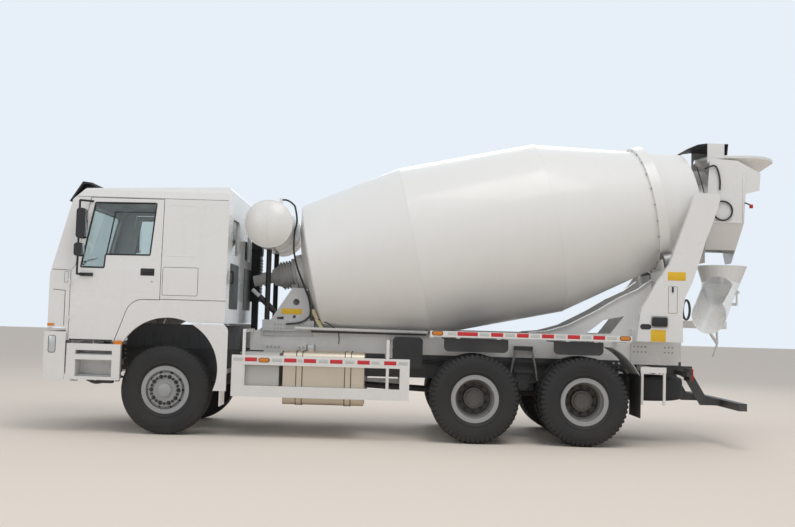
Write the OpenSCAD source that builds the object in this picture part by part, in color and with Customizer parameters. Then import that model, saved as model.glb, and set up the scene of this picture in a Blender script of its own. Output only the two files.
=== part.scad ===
// Concrete mixer truck, 6x4, cab over engine, driver's side at -Y, front at -X, ground at z = 0.
// All x values below are measured rearwards from the front axle; placed() shifts them to the frame.

/* [Overall] */
// Bumper's face to the front axle
front_over = 1575; // [1560:5:1600]
// Front axle to the middle axle
wheelbase = 3825; // [3800:5:3850]
// Middle axle to the rear axle
bogie = 1350; // [1330:5:1370]
// Width over the steps and side rails
body_w = 2496; // [2490:2:2500]

/* [Wheels] */
// Tyre diameter, as it stands under load
tyre_d = 1102; // [1080:2:1120]
// Tyre section width
tyre_w = 312; // [300:1:320]
// Rim diameter over its flanges
rim_d = 590; // [580:1:600]
// Front track
front_track = 2022; // [2010:2:2040]
// Rear track, between the middles of the twins
rear_track = 1830; // [1820:2:1840]
// Distance between the two tyres of a twin
twin_gap = 345; // [338:1:350]
// Radius of the front stub axle
stub_r = 35; // [30:1:38]
// Radius of the rear axle tubes' ends
tube_r = 45; // [40:1:50]
// Radius of the kingpin
king_r = 25; // [20:1:28]
// Running clearance on radius in every turning fit
run_gap = 0.05; // [0.03:0.01:0.09]

/* [Frame] */
// Width over the frame's side rails
frame_w = 860; // [840:2:880]
// Height of a side rail
rail_h = 300; // [280:2:310]
// Height of the rails' top above ground
frame_top = 1050; // [1040:2:1060]
// Thickness of the rails
rail_t = 10; // [8:1:14]
// Width of a rail's flange
rail_flange = 80; // [70:1:90]
// Frame end behind the rear axle
rear_over = 1405; // [1380:5:1430]
// Height of the white subframe's top
sub_top = 1310; // [1305:1:1330]
// Thickness of the subframe's beams
sub_t = 80; // [70:1:90]

/* [Cab] */
// Width of the cab over its doors
cab_w = 2430; // [2420:2:2440]
// Thickness of doors and walls
cab_t = 50; // [44:1:56]
// Cab rear wall behind the front axle
cab_rear = 715; // [700:1:725]
// Height of the roof at the rear
cab_top = 3100; // [3080:2:3120]
// Underside of the cab floor
floor_z = 1470; // [1465:1:1490]
// Gap round the doors and panels
seam = 8; // [7:0.5:9]
// Height of the door's lower edge
door_z = 1130; // [1125:1:1140]
// Radius of the front wheel arch
arch_r = 632; // [625:1:640]

/* [Drum] */
// Largest radius of the drum
drum_r = 1150; // [1140:1:1155]
// Thickness of the drum's plate
drum_t = 8; // [6:1:12]
// Rise of the drum's axis to the rear, in degrees
drum_tilt = 12; // [11.8:0.1:12.2]
// Front seam of the drum's barrel ahead of the frame's end
drum_ahead = 3535; // [3525:1:3545]
// Height of the drum's axis at that seam
drum_z = 2421; // [2415:1:2430]
// Length of the straight barrel
barrel_l = 1818; // [1800:2:1830]
// Length of the front cone
nose_l = 1347; // [1335:1:1355]
// Radius where the front cone ends
nose_r = 882; // [875:1:890]
// Rear cone's length
tail_l = 1960; // [1940:2:1970]
// Radius of the drum's mouth
mouth_r = 655; // [640:1:660]
// Outer radius of the riding ring
ring_r = 862; // [856:1:870]
// Middle of the riding ring behind the front seam
ring_at = 3197; // [3190:1:3204]
// Width of the riding ring
ring_w = 130; // [120:1:140]
// Radius of a support roller
roller_r = 125; // [115:1:130]
// Angle of a roller from straight below
roller_a = 40; // [38:0.5:42]

/* [Rear] */
// Half width over the rear pedestal's columns
ped_y = 860; // [850:1:870]
// Thickness of a column
col_t = 90; // [80:1:95]
// Hopper's rear lip behind the frame's end
tail_over = 1310; // [1300:5:1320]
// Radius of the hopper's rim
hop_r = 515; // [505:1:520]
// Height of the hopper's rim
hop_z = 3790; // [3780:1:3800]
// Swivel axis of the chute behind the frame's end
swivel_back = 660; // [650:1:670]

/* [Hidden] */
$fn = 48;
eps = 0.5;
// A soft seat: the gap left where a curved or soft piece rests on another
seat = 0.3;

// Places along the truck
x_mid = wheelbase;
x_rear = wheelbase + bogie;
x_tail = x_rear + rear_over;
x_nose = -front_over;
truck_l = front_over + x_tail + tail_over;
drum_x = x_tail - drum_ahead;
axle_z = tyre_d / 2;
side_y = body_w / 2;
rail_y = frame_w / 2;
frame_bot = frame_top - rail_h;
frame_front = x_nose + 330;

// Colours
white = [0.93, 0.93, 0.92];
grey = [0.72, 0.73, 0.74];
dark = [0.17, 0.17, 0.18];
black = [0.05, 0.05, 0.055];
rubber = [0.07, 0.07, 0.07];
steel = [0.55, 0.56, 0.58];
glass = [0.35, 0.5, 0.47, 0.5];

// Placing and small shared shapes
module placed() translate([truck_l / -2 + front_over, 0, 0]) children();
module both_sides() { children(); mirror([0, 1, 0]) children(); }
module side_of(s) { if (s < 0) children(); else mirror([0, 1, 0]) children(); }
// A bar from x0 to x1, y0 to y1, z0 to z1
module bar(x0, x1, y0, y1, z0, z1) translate([x0, y0, z0]) cube([x1 - x0, y1 - y0, z1 - z0]);
// A plate cut from a side view outline, from y0 to y1
module plate(pts, y0, y1) translate([0, y1, 0]) rotate([90, 0, 0]) linear_extrude(y1 - y0) polygon(pts);
// A side view drawing given as children, from y0 to y1
module side_cut(y0, y1) translate([0, y1, 0]) rotate([90, 0, 0]) linear_extrude(y1 - y0) children();
// A cylinder along y
module ycyl(x, z, r, y0, y1, r2 = undef) translate([x, y0, z]) rotate([-90, 0, 0])
    cylinder(r1 = r, r2 = is_undef(r2) ? r : r2, h = y1 - y0);
// A cylinder along x
module xcyl(y, z, r, x0, x1, r2 = undef) translate([x0, y, z]) rotate([0, 90, 0])
    cylinder(r1 = r, r2 = is_undef(r2) ? r : r2, h = x1 - x0);
// A rounded rectangle from (x0, z0) to (x1, z1)
module soft_rect(x0, z0, x1, z1, r) {
    translate([x0 + r, z0]) square([x1 - x0 - 2 * r, z1 - z0]);
    translate([x0, z0 + r]) square([x1 - x0, z1 - z0 - 2 * r]);
    for (x = [x0 + r, x1 - r], z = [z0 + r, z1 - r]) translate([x, z]) circle(r);
}
// A straight round bar between two points
module rod(a, b, r) {
    d = b - a;
    translate(a) rotate([0, acos(d[2] / norm(d)), atan2(d[1], d[0])]) cylinder(r = r, h = norm(d));
}

// FRAME: two channel rails with a raised tail, and their cross members in a node of their own
cross_x = [frame_front + 60, -760, 820, 1950, 3000, x_mid + bogie / 2, x_rear + 520, x_tail - 60];
cross_t = 12;
tail_rise = 150;
tail_x0 = x_rear + 430;
tail_x1 = x_rear + 600;
module rail_outline(inset) polygon([[frame_front - inset, frame_top - inset],
    [frame_front - inset, frame_bot + inset], [tail_x0, frame_bot + inset],
    [tail_x1, frame_bot + tail_rise + inset], [x_tail + inset, frame_bot + tail_rise + inset],
    [x_tail + inset, frame_top - inset]]);
module frame() placed() color(dark) {
    both_sides() difference() {
        side_cut(-rail_y, -rail_y + rail_flange) rail_outline(0);
        side_cut(-rail_y + rail_t, -rail_y + rail_flange + 1) rail_outline(rail_t);
    }
    // cab pins on their plates
    both_sides() {
        bar(cab_px - 40, frame_front + 100, -rail_y - 22, -rail_y, cab_pz - 70, cab_pz + 35);
        ycyl(cab_px, cab_pz, cab_pr, -arm_y1 - 4, -rail_y - 21);
    }
}
// Cross members between the webs, with the spare wheel's carrier and the rear tow eye
cross_y = rail_y - rail_t;
tow_x = x_tail + 155;
module cross_members() placed() color(dark) {
    for (x = cross_x)
        bar(x, x + cross_t, -cross_y, cross_y,
            (x > tail_x0 - 50 ? frame_bot + tail_rise : frame_bot) + rail_t, frame_top - rail_t);
    // carrier and bolt of the spare wheel
    bar(spare_x - 40, spare_x + 40, -cross_y, cross_y, frame_bot + tail_rise + rail_t, 960);
    translate([spare_x, 0, spare_z + 7]) cylinder(r = 30, h = 220);
    difference() {
        bar(x_tail - 50, tow_x + 40, -70, 70, 935, 965);
        translate([tow_x, 0, 900]) cylinder(r = tow_r, h = 100);
    }
}
tow_r = 20;
// Cab tilt axis and the arms that hang on it
cab_px = -1340;
cab_pz = 1000;
cab_pr = 25;
cab_clear = 342;
corner_clear = 292;
arm_y0 = 500;
arm_y1 = 540;

// POWER UNIT: the engine and gearbox as one plain block between the rails
block_y = rail_y - rail_flange - 12;
block_x0 = -700;
block_x1 = 780;
block_top = floor_z - 120;
module power_unit() placed() color(dark) {
    bar(block_x0, block_x1, -block_y, block_y, frame_bot - 120, block_top);
    // mounts to the rails
    for (x = [-300, 500]) both_sides() bar(x, x + 100, -rail_y + rail_t, -block_y + 1, frame_bot + 90, frame_bot + 190);
}

// FRONT BUMPER: a thin curved skin with open back, lower in front of the steps
bump_top = 1236;
bump_bot = 655;
bump_t = 12;
bump_r = 150;
bump_rear = -1222;
module bumper_plan(inset) {
    intersection() {
        translate([x_nose + inset, -side_y + inset]) union() {
            translate([bump_r, 0]) square([700, body_w - 2 * inset]);
            translate([0, bump_r]) square([700, body_w - 2 * inset - 2 * bump_r]);
            for (y = [bump_r, body_w - 2 * inset - bump_r]) translate([bump_r, y]) circle(bump_r);
        }
        translate([x_nose + inset + 9000, 0]) circle(9000, $fn = 720);
    }
}
module front_bumper() placed() color(white) {
    difference() {
        translate([0, 0, bump_bot]) linear_extrude(bump_top - bump_bot) bumper_plan(0);
        translate([0, 0, bump_bot - 1]) linear_extrude(bump_top - bump_bot + 2) bumper_plan(bump_t);
        bar(bump_rear, 0, -side_y - 1, side_y + 1, bump_bot - 1, bump_top + 1);
        // lamp openings
        both_sides() bar(x_nose - 10, x_nose + 330, -side_y + 20, -side_y + 330, lamp_z0, lamp_z1);
    }
    // brackets to the rails
    both_sides() {
        bar(x_nose + bump_t + 12, frame_front, -rail_y + 5, -rail_y + 75, frame_bot + 10, cab_pz - 75);
        // towing eyes under the bumper
        difference() {
            bar(x_nose + 175, x_nose + 255, -rail_y + 5, -rail_y + 75, bump_bot - 75, frame_bot + 11);
            ycyl(x_nose + 215, bump_bot - 40, tow_r, -rail_y, -rail_y + 80);
        }
    }
    bar(x_nose + bump_t + 1, x_nose + bump_t + 60, -side_y + 250, side_y - 250, frame_bot + 60, frame_bot + 180);
}

// HEAD LAMPS: one cluster in each end of the bumper, with the indicator above it
lamp_z0 = 1010;
lamp_z1 = 1190;
module head_lamps() placed() color([0.85, 0.86, 0.88]) both_sides() {
    intersection() {
        translate([0, 0, lamp_z0 + seat]) linear_extrude(lamp_z1 - lamp_z0 - 2 * seat) difference() {
            bumper_plan(3);
            bumper_plan(bump_t + 3);
        }
        bar(x_nose - 10, x_nose + 330 - seat, -side_y + 20 + seat, -side_y + 330 - seat, lamp_z0, lamp_z1);
    }
}

// CAB STEPS: a box on each side with two recessed treads, hung from the rail
step_x0 = -1203;
step_x1 = -626;
step_skin_x = -545;
step_z1 = door_z - 35;
step_in = side_y - 400;
module cab_steps() placed() color(white) both_sides() {
    difference() {
        union() {
            bar(step_x0, step_x1, -side_y, -step_in, bump_bot, step_z1);
            bar(step_x1 - 1, step_skin_x, -side_y, -side_y + 45, bump_bot, step_z1);
        }
        // lower and upper treads
        bar(step_x0 + 110, step_x1 - 20, -side_y - 1, -side_y + 230, bump_bot + 42, bump_bot + 245);
        bar(step_x0 + 110, step_x1 - 20, -side_y - 1, -side_y + 200, bump_bot + 307, step_z1 - 80);
    }
    bar(step_x0 + 80, step_x0 + 160, -step_in - 1, -rail_y, frame_bot + 60, frame_bot + 140);
    bar(step_x1 - 160, step_x1 - 80, -step_in - 1, -rail_y, frame_bot + 60, frame_bot + 140);
}

// FRONT MUDGUARDS: the part behind each front wheel, with a rubber flap below
arch_x = 20;
arch_z = 810;
guard_top = 1376;
guard_x1 = 765;
guard_bot = 563;
guard_in = 860;
module guard_face() difference() {
    union() {
        translate([300, guard_bot]) square([guard_x1 - 300, guard_top - 90 - guard_bot]);
        translate([300, guard_bot]) square([guard_x1 - 300 - 90, guard_top - guard_bot]);
        translate([guard_x1 - 90, guard_top - 90]) circle(90);
    }
    translate([arch_x, arch_z]) circle(arch_r, $fn = 120);
}
module mudguards_front() placed() color(white) both_sides() {
    side_cut(-side_y + 1, -side_y + 13) guard_face();
    side_cut(-side_y + 12, -guard_in) difference() {
        union() {
            intersection() {
                translate([arch_x, arch_z]) circle(arch_r + 28, $fn = 120);
                translate([310, arch_z - 1]) square([600, guard_top - arch_z + 1]);
            }
            translate([310, guard_bot]) square([arch_x + arch_r + 28 - 310, arch_z - guard_bot]);
        }
        translate([arch_x, arch_z]) circle(arch_r + 20, $fn = 120);
        translate([0, 0]) square([arch_x + arch_r + 20, arch_z]);
    }
    // rubber flap and the stay to the rail
    bar(arch_x + arch_r + 28, arch_x + arch_r + 36, -side_y + 20, -guard_in, guard_bot - 190, guard_bot + 60);
    bar(arch_x + arch_r + 27, arch_x + arch_r + 67, -guard_in - 40, -rail_y, frame_bot + 10, frame_bot + 55);
}

// FUEL TANK: rounded tank on the left with two straps and a cap
ft_x0 = 1450;
ft_x1 = 2450;
ft_z0 = 416;
ft_z1 = 1070;
ft_y0 = -1190;
ft_y1 = -560;
ft_r = 90;
strap_w = 60;
strap_t = 6;
module xcut(x0, x1) translate([x0, 0, 0]) rotate([90, 0, 90]) linear_extrude(x1 - x0) children();
module fuel_tank() placed() color([0.70, 0.69, 0.66]) {
    xcut(ft_x0, ft_x1) soft_rect(ft_y0, ft_z0, ft_y1, ft_z1, ft_r);
    for (x = [ft_x0 + 170, ft_x1 - 230]) {
        xcut(x, x + strap_w) soft_rect(ft_y0 - strap_t, ft_z0 - strap_t, ft_y1 + strap_t, ft_z1 + strap_t,
            ft_r + strap_t);
        bar(x, x + strap_w, ft_y1, -rail_y, frame_bot + 30, frame_top - 120);
    }
    translate([ft_x0 + 320, (ft_y0 + ft_y1) / 2 - 100, ft_z1 - 2]) cylinder(r = 55, h = 42);
}

// SIDE BOXES: battery box on the left; silencer and two air reservoirs on the right
bb_x0 = 960;
bb_x1 = 1400;
module side_boxes() placed() color(grey) {
    xcut(bb_x0, bb_x1) soft_rect(-1190, 548, -700, 1040, 60);
    bar(bb_x0 + 40, bb_x1 - 40, -705, -rail_y, frame_bot + 60, frame_bot + 140);
    xcut(bb_x0, bb_x0 + 560) soft_rect(620, 480, 1180, 980, 120);
    bar(bb_x0 + 60, bb_x0 + 500, rail_y, 625, frame_bot + 20, frame_bot + 110);
    for (z = [560, 860]) xcyl(930, z, 130, 1700, 2450);
    for (x = [1800, 2290]) {
        bar(x, x + 60, 900, 960, 560, 860);
        bar(x, x + 60, rail_y, 930, 820, 880);
    }
}

// SIDE GUARDS: a plate frame with one long opening on each side, and a small frame behind the rear wheels
sg_x0 = 825;
sg_x1 = 3010;
sg_z0 = 505;
sg_z1 = 1012;
sg_t = 35;
sub_y = rail_y;
module side_guards() placed() color(white) both_sides() {
    difference() {
        bar(sg_x0, sg_x1, -side_y, -side_y + sg_t, sg_z0, sg_z1);
        bar(sg_x0 + 141, sg_x1 - 120, -side_y - 1, -side_y + sg_t + 1, sg_z0 + 135, sg_z1 - 117);
    }
    for (p = [[sg_x0 + 125, 1330], [sg_x1 - 290, 1240]]) {
        bar(p[0], p[0] + 36, -side_y + 5, -side_y + 36, sg_z0 + 133, p[1]);
        bar(p[0], p[0] + 36, -side_y + 34, -sub_y, p[1] - 40, p[1]);
    }
    // rear guard frame
    for (x = [x_rear + 700, x_rear + 975]) bar(x, x + 30, -1180, -1150, 535, 931);
    bar(x_rear + 695, x_rear + 1010, -1182, -1148, 930, 1000);
    bar(x_rear + 820, x_rear + 880, -1149, -rail_y, 935, 995);
}

// FRONT AXLE: dropped beam with kingpin eyes, and two leaf springs with their hangers
king_y = front_track / 2 - 131;
eye_h = 120;
eye_r = 55;
beam_z = 430;
spring_r = 2820;
spring_w = 90;
spring_y = rail_y - spring_w / 2 + 4;
module leaf(len, t, up) intersection() {
    difference() {
        translate([0, spring_r]) circle(spring_r + t * (1 - up), $fn = 240);
        translate([0, spring_r]) circle(spring_r - t * up, $fn = 240);
    }
    translate([-len / 2, -60]) square([len, 300]);
}
module front_axle() placed() color(dark) {
    // beam
    bar(-50, 50, -king_y + 150, king_y - 150, beam_z - 50, beam_z + 50);
    both_sides() {
        difference() {
            union() {
                plate_yz([[-king_y + 40, axle_z - eye_h / 2], [-king_y + 40, axle_z + eye_h / 2],
                    [-king_y + 90, axle_z + eye_h / 2], [-king_y + 210, beam_z + 50],
                    [-king_y + 210, beam_z - 50], [-king_y + 130, beam_z - 50],
                    [-king_y + 64, axle_z - eye_h / 2]], -42, 42);
                translate([0, -king_y, axle_z - eye_h / 2]) cylinder(r = eye_r, h = eye_h);
            }
            translate([0, -king_y, axle_z - eye_h]) cylinder(r = king_r + run_gap, h = 2 * eye_h);
        }
        // leaves
        for (n = [0 : 3]) side_cut(-spring_y - spring_w / 2, -spring_y + spring_w / 2)
            translate([10, beam_z + 50 + 20 * n]) leaf(1000 + 190 * n, 20.5, 1);
        // spring eyes and hangers
        for (x = [-790, 810]) {
            ycyl(x, 712, 34, -spring_y - spring_w / 2, -spring_y + spring_w / 2);
            bar(x - 45, x + 45, -spring_y - spring_w / 2, -spring_y + spring_w / 2, 712, frame_bot);
            bar(x - 20, x + 20, -spring_y - spring_w / 2, -spring_y + spring_w / 2, 590, 712);
        }
        bar(-90, 110, -spring_y - spring_w / 2 - 12, -spring_y + spring_w / 2 + 12, beam_z + 132, beam_z + 160);
        for (x = [-80, 90]) bar(x - 10, x + 20, -spring_y - spring_w / 2 - 12, -spring_y - spring_w / 2,
            beam_z - 20, beam_z + 160);
    }
}
module plate_yz(pts, x0, x1) translate([x0, 0, 0]) rotate([90, 0, 90]) linear_extrude(x1 - x0) polygon(pts);

// KNUCKLES: yoke and kingpin with the stub axle; the left one, mirrored for the right
cheek = 26;
yoke_gap = 3;
hub_out = front_track / 2 + 150;
module knuckle() color(dark) {
    translate([0, -king_y, axle_z - eye_h / 2 - yoke_gap - cheek])
        cylinder(r = king_r, h = eye_h + 2 * yoke_gap + 2 * cheek);
    for (z = [axle_z - eye_h / 2 - yoke_gap - cheek, axle_z + eye_h / 2 + yoke_gap])
        translate([0, -king_y, z]) {
            cylinder(r = 50, h = cheek);
            translate([-45, -100, 0]) cube([90, 100, cheek]);
        }
    bar(-45, 45, -king_y - 100, -king_y - 64, axle_z - eye_h / 2 - yoke_gap - cheek,
        axle_z + eye_h / 2 + yoke_gap + cheek);
    ycyl(0, axle_z, stub_r, -hub_out + 20, -king_y - 90);
    // steering arm
    bar(40, 200, -king_y - 95, -king_y - 66, axle_z - 90, axle_z - 60);
}
module knuckle_left() placed() knuckle();
module knuckle_right() placed() mirror([0, 1, 0]) knuckle();

// WHEELS: rim sections with their discs, turned about the axle; h runs outwards from the rim's middle
rim_r = rim_d / 2;
seat_r = rim_r - 38;
rim_h = 122;
disc_t = 14;
nut_n = 10;
nut_pcd = 335;
module barrel() rotate_extrude($fn = 96) polygon([[seat_r - 16, -rim_h], [rim_r, -rim_h], [rim_r, -rim_h + 12],
    [seat_r, -rim_h + 15], [seat_r, rim_h - 15], [rim_r, rim_h - 12], [rim_r, rim_h], [seat_r - 16, rim_h],
    [seat_r - 12, rim_h - 24], [seat_r - 12, -rim_h + 24]]);
// Dished disc from the barrel at h0 to the flat at h1
module dish(h0, h1) rotate_extrude($fn = 96) polygon([[seat_r - 11, h0 - disc_t], [seat_r - 11, h0 + disc_t],
    [seat_r - 40, h0 + disc_t], [nut_pcd / 2 + 40, h1 + disc_t / 2], [60, h1 + disc_t / 2],
    [60, h1 - disc_t / 2], [nut_pcd / 2 + 34, h1 - disc_t / 2], [seat_r - 50, h0 - disc_t]]);
module nuts(h0, h1) for (i = [0 : nut_n - 1]) rotate([0, 0, (i + 0.5) * 360 / nut_n])
    translate([nut_pcd / 2, 0, h0]) cylinder(r = 18, h = h1 - h0, $fn = 6);
module hand_holes(h) for (i = [0 : nut_n - 1]) rotate([0, 0, i * 360 / nut_n])
    translate([seat_r - 40, 0, h - 60]) cylinder(r = 15, h = 120, $fn = 24);
// Puts a wheel part, drawn with h upwards, at x, with its middle at y from the centre line, h outwards
module on_axle(x, y) translate([x, -y, axle_z]) rotate([90, 0, 0]) children();
disc_off = 128;
module front_rim() color(grey) on_axle(0, front_track / 2) difference() {
    union() {
        barrel();
        difference() {
            dish(60, disc_off);
            hand_holes(80);
        }
        translate([0, 0, disc_off - 120]) cylinder(r = 95, h = 120 + disc_t / 2);
        translate([0, 0, disc_off - 1]) cylinder(r = 82, h = 40);
        nuts(disc_off, disc_off + 34);
    }
    translate([0, 0, -200]) cylinder(r = stub_r + run_gap, h = 200 + disc_off + 25);
}
tyre_pts = [[seat_r + seat, -106], [rim_r + 1, -106], [rim_r + 2, -126], [rim_r + 35, -tyre_w / 2 + 9],
    [rim_r + 95, -tyre_w / 2], [tyre_d / 2 - 80, -tyre_w / 2 + 4], [tyre_d / 2 - 26, -tyre_w / 2 + 18],
    [tyre_d / 2 - 6, -tyre_w / 2 + 38], [tyre_d / 2, -tyre_w / 4]];
module tyre() rotate_extrude($fn = 48) polygon(concat(tyre_pts,
    [for (i = [len(tyre_pts) - 1 : -1 : 0]) [tyre_pts[i][0], -tyre_pts[i][1]]]));
module front_tyre() color(rubber) on_axle(0, front_track / 2) tyre();
module front_rim_left() placed() front_rim();
module front_rim_right() placed() mirror([0, 1, 0]) front_rim();
module front_tyre_left() placed() front_tyre();
module front_tyre_right() placed() mirror([0, 1, 0]) front_tyre();

// Twin wheels: two barrels, their discs back to back, one hub and the brake drum
half_twin = twin_gap / 2;
hub_r = 140;
module twin_rims(x) color(grey) on_axle(x, rear_track / 2) difference() {
    union() {
        for (s = [-1, 1]) translate([0, 0, s * half_twin]) barrel();
        for (s = [0, 1]) mirror([0, 0, s]) rotate_extrude($fn = 96) polygon([[60, 0], [60, disc_t],
            [nut_pcd / 2 + 34, disc_t], [seat_r - 50, half_twin - 68], [seat_r - 11, half_twin - 60],
            [seat_r - 11, half_twin - 88], [seat_r - 40, half_twin - 96], [nut_pcd / 2 + 44, 0]]);
        translate([0, 0, -70]) cylinder(r = hub_r, h = 70);
        cylinder(r1 = hub_r, r2 = hub_r - 12, h = 105);
        translate([0, 0, 104]) cylinder(r = 100, h = 22);
        translate([0, 0, -half_twin - 110]) cylinder(r = 205, h = 170);
        nuts(disc_t, disc_t + 34);
    }
    translate([0, 0, -half_twin - 130]) cylinder(r = tube_r + run_gap, h = half_twin + 130 + 95);
    translate([0, 0, -half_twin - 111]) cylinder(r = 160, h = 110);
}
module twin_tyres(x) color(rubber) on_axle(x, rear_track / 2)
    for (s = [-1, 1]) translate([0, 0, s * half_twin]) tyre();
module mid_rims_left() placed() twin_rims(x_mid);
module mid_rims_right() placed() mirror([0, 1, 0]) twin_rims(x_mid);
module mid_tyres_left() placed() twin_tyres(x_mid);
module mid_tyres_right() placed() mirror([0, 1, 0]) twin_tyres(x_mid);
module rear_rims_left() placed() twin_rims(x_rear);
module rear_rims_right() placed() mirror([0, 1, 0]) twin_rims(x_rear);
module rear_tyres_left() placed() twin_tyres(x_rear);
module rear_tyres_right() placed() mirror([0, 1, 0]) twin_tyres(x_rear);

// DRIVE AXLES: two housings with their final drives and the propeller shafts
tube_end = rear_track / 2 + 90;
module drive_axle(x) {
    ycyl(x, axle_z, tube_r, -tube_end, tube_end);
    bar(x - 65, x + 65, -600, 600, axle_z - 70, axle_z + 70);
    ycyl(x, axle_z, 215, -85, 85);
    ycyl(x, axle_z, 150, -150, 150);
    xcyl(0, axle_z + 20, 105, x - 330, x);
}
module drive_axles() placed() color(dark) {
    drive_axle(x_mid);
    drive_axle(x_rear);
    xcyl(0, axle_z + 20, 62, x_mid - 1, x_mid + 300);
    xcyl(0, frame_bot - 60, 62, block_x1, block_x1 + 30);
    rod([block_x1 + 10, 0, frame_bot - 60], [x_mid - 325, 0, axle_z + 20], 42);
    rod([x_mid + 290, 0, axle_z + 20], [x_rear - 325, 0, axle_z + 20], 45);
}

// BOGIE SPRINGS: the rocking leaf packs on their trunnions, between rail and tyres
bog_x = x_mid + bogie / 2;
bog_y0 = rail_y + 14;
bog_w = 80;
bog_r = 2300;
module bogie_leaf(len, z, t) translate([bog_x, z - bog_r]) intersection() {
    difference() {
        circle(bog_r + t, $fn = 240);
        circle(bog_r, $fn = 240);
    }
    translate([-len / 2, 0]) square([len, bog_r * 1.2]);
}
module bogie_springs() placed() color(dark) both_sides() {
    // leaves, longest at the bottom
    for (n = [0 : 4]) side_cut(-bog_y0 - bog_w, -bog_y0)
        bogie_leaf(bogie + 90 - 210 * n, leaf_z + 22 * n, 22.5);
    // axle pads
    for (x = [x_mid, x_rear]) bar(x - 60, x + 60, -bog_y0 - bog_w, -bog_y0, axle_z + 70, 665);
    // trunnion, saddle under the leaves and clamp over them
    ycyl(bog_x, leaf_z - 60, 70, -bog_y0 - bog_w - 30, -rail_y - 11);
    bar(bog_x - 90, bog_x + 90, -bog_y0 - bog_w - 8, -bog_y0 + 8, leaf_z - 60, leaf_z + 1);
    bar(bog_x - 150, bog_x + 150, -rail_y - 12, -rail_y, 620, frame_top - 15);
    bar(bog_x - 120, bog_x + 120, -bog_y0 - bog_w - 26, -bog_y0 + 1, leaf_z + 100, leaf_z + 135);
    // bolts and the stop bar above the rocker
    for (x = [-105, -75, 75, 105])
        rod([bog_x + x, -bog_y0 - bog_w - 16, leaf_z + 110], [bog_x + x * 1.7, -bog_y0 - bog_w - 16, leaf_z - 10], 11);
    bar(bog_x - 190, bog_x + 190, -bog_y0 - bog_w - 28, -bog_y0 - bog_w + 6, leaf_z - 26, leaf_z - 4);
    bar(bog_x - 117, bog_x + 117, -bog_y0 - bog_w - 34, -rail_y, 1144, 1200);
}
leaf_z = 760;

// SUBFRAME: the white beams on the rails, with their bolt plates and cross beams
sub_x0 = 930;
module subframe() placed() color(white) {
    both_sides() {
        difference() {
            bar(sub_x0, x_tail, -sub_y, -sub_y + sub_t, frame_top, sub_top);
            bar(sub_x0 - 1, x_tail + 1, -sub_y + 10, -sub_y + sub_t - 10, frame_top + 12, sub_top - 12);
        }
        for (x = [1110, 1530, 2700]) bar(x, x + 250, -sub_y - 10, -sub_y, frame_top - 110, frame_top + 90);
    }
    for (x = [sub_x0 + 20, 2200, 3200, bog_x - 50, x_rear + 100, x_rear + 760])
        bar(x, x + 100, -sub_y + sub_t - 1, sub_y - sub_t + 1, frame_top + 40, sub_top - 40);
    // upper side rails and their arms
    both_sides() {
        bar(ur_x0, ur_x1, -side_y, -side_y + 30, ur_z0, ur_z1);
        for (x = [ur_x0, x_mid - 250, x_mid + 250, x_rear - 250, x_rear + 100, ur_x1 - 60])
            bar(x, x + 50, -side_y + 29, -sub_y, pan_z1, ur_z0 + 17);
    }
}
ur_x0 = 3250;
ur_x1 = x_rear + 565;
ur_z0 = 1305;
ur_z1 = 1376;

// REAR MUDGUARDS: black pans over the rear wheels, shroud and flap behind the last one
pan_z0 = 1125;
pan_z1 = 1287;
module pan(x0, x1) {
    difference() {
        side_cut(-side_y + 32, -590) soft_rect(x0, pan_z0, x1, pan_z1 + 38, 60);
        bar(x0 - 1, x1 + 1, -side_y + 42, -580, pan_z0 - 1, pan_z1 - 11);
        bar(x0 - 1, x1 + 1, -side_y, 0, pan_z1, pan_z1 + 98);
    }
}
module mudguards_rear() placed() color(black) both_sides() {
    pan(x_mid - 400, x_mid + 395);
    pan(x_rear - 395, x_rear + 220);
    // plate before the middle wheel
    side_cut(-760, -745) soft_rect(x_mid - 1030, 880, x_mid - 645, 1280, 50);
    bar(x_mid - 900, x_mid - 860, -746, -sub_y, 1150, 1190);
    // shroud and flap
    side_cut(-side_y + 32, -640) difference() {
        translate([x_rear, axle_z]) circle(760, $fn = 120);
        translate([x_rear, axle_z]) circle(750, $fn = 120);
        translate([x_rear - 900, axle_z - 900]) square([1800, 900 + 330]);
        translate([x_rear - 900, axle_z]) square([900 + 345, 1200]);
    }
    bar(x_rear + 682, x_rear + 690, -side_y + 32, -640, 372, 900);
    bar(x_rear + 640, x_rear + 684, -700, -rail_y, 885, 930);
}

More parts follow.
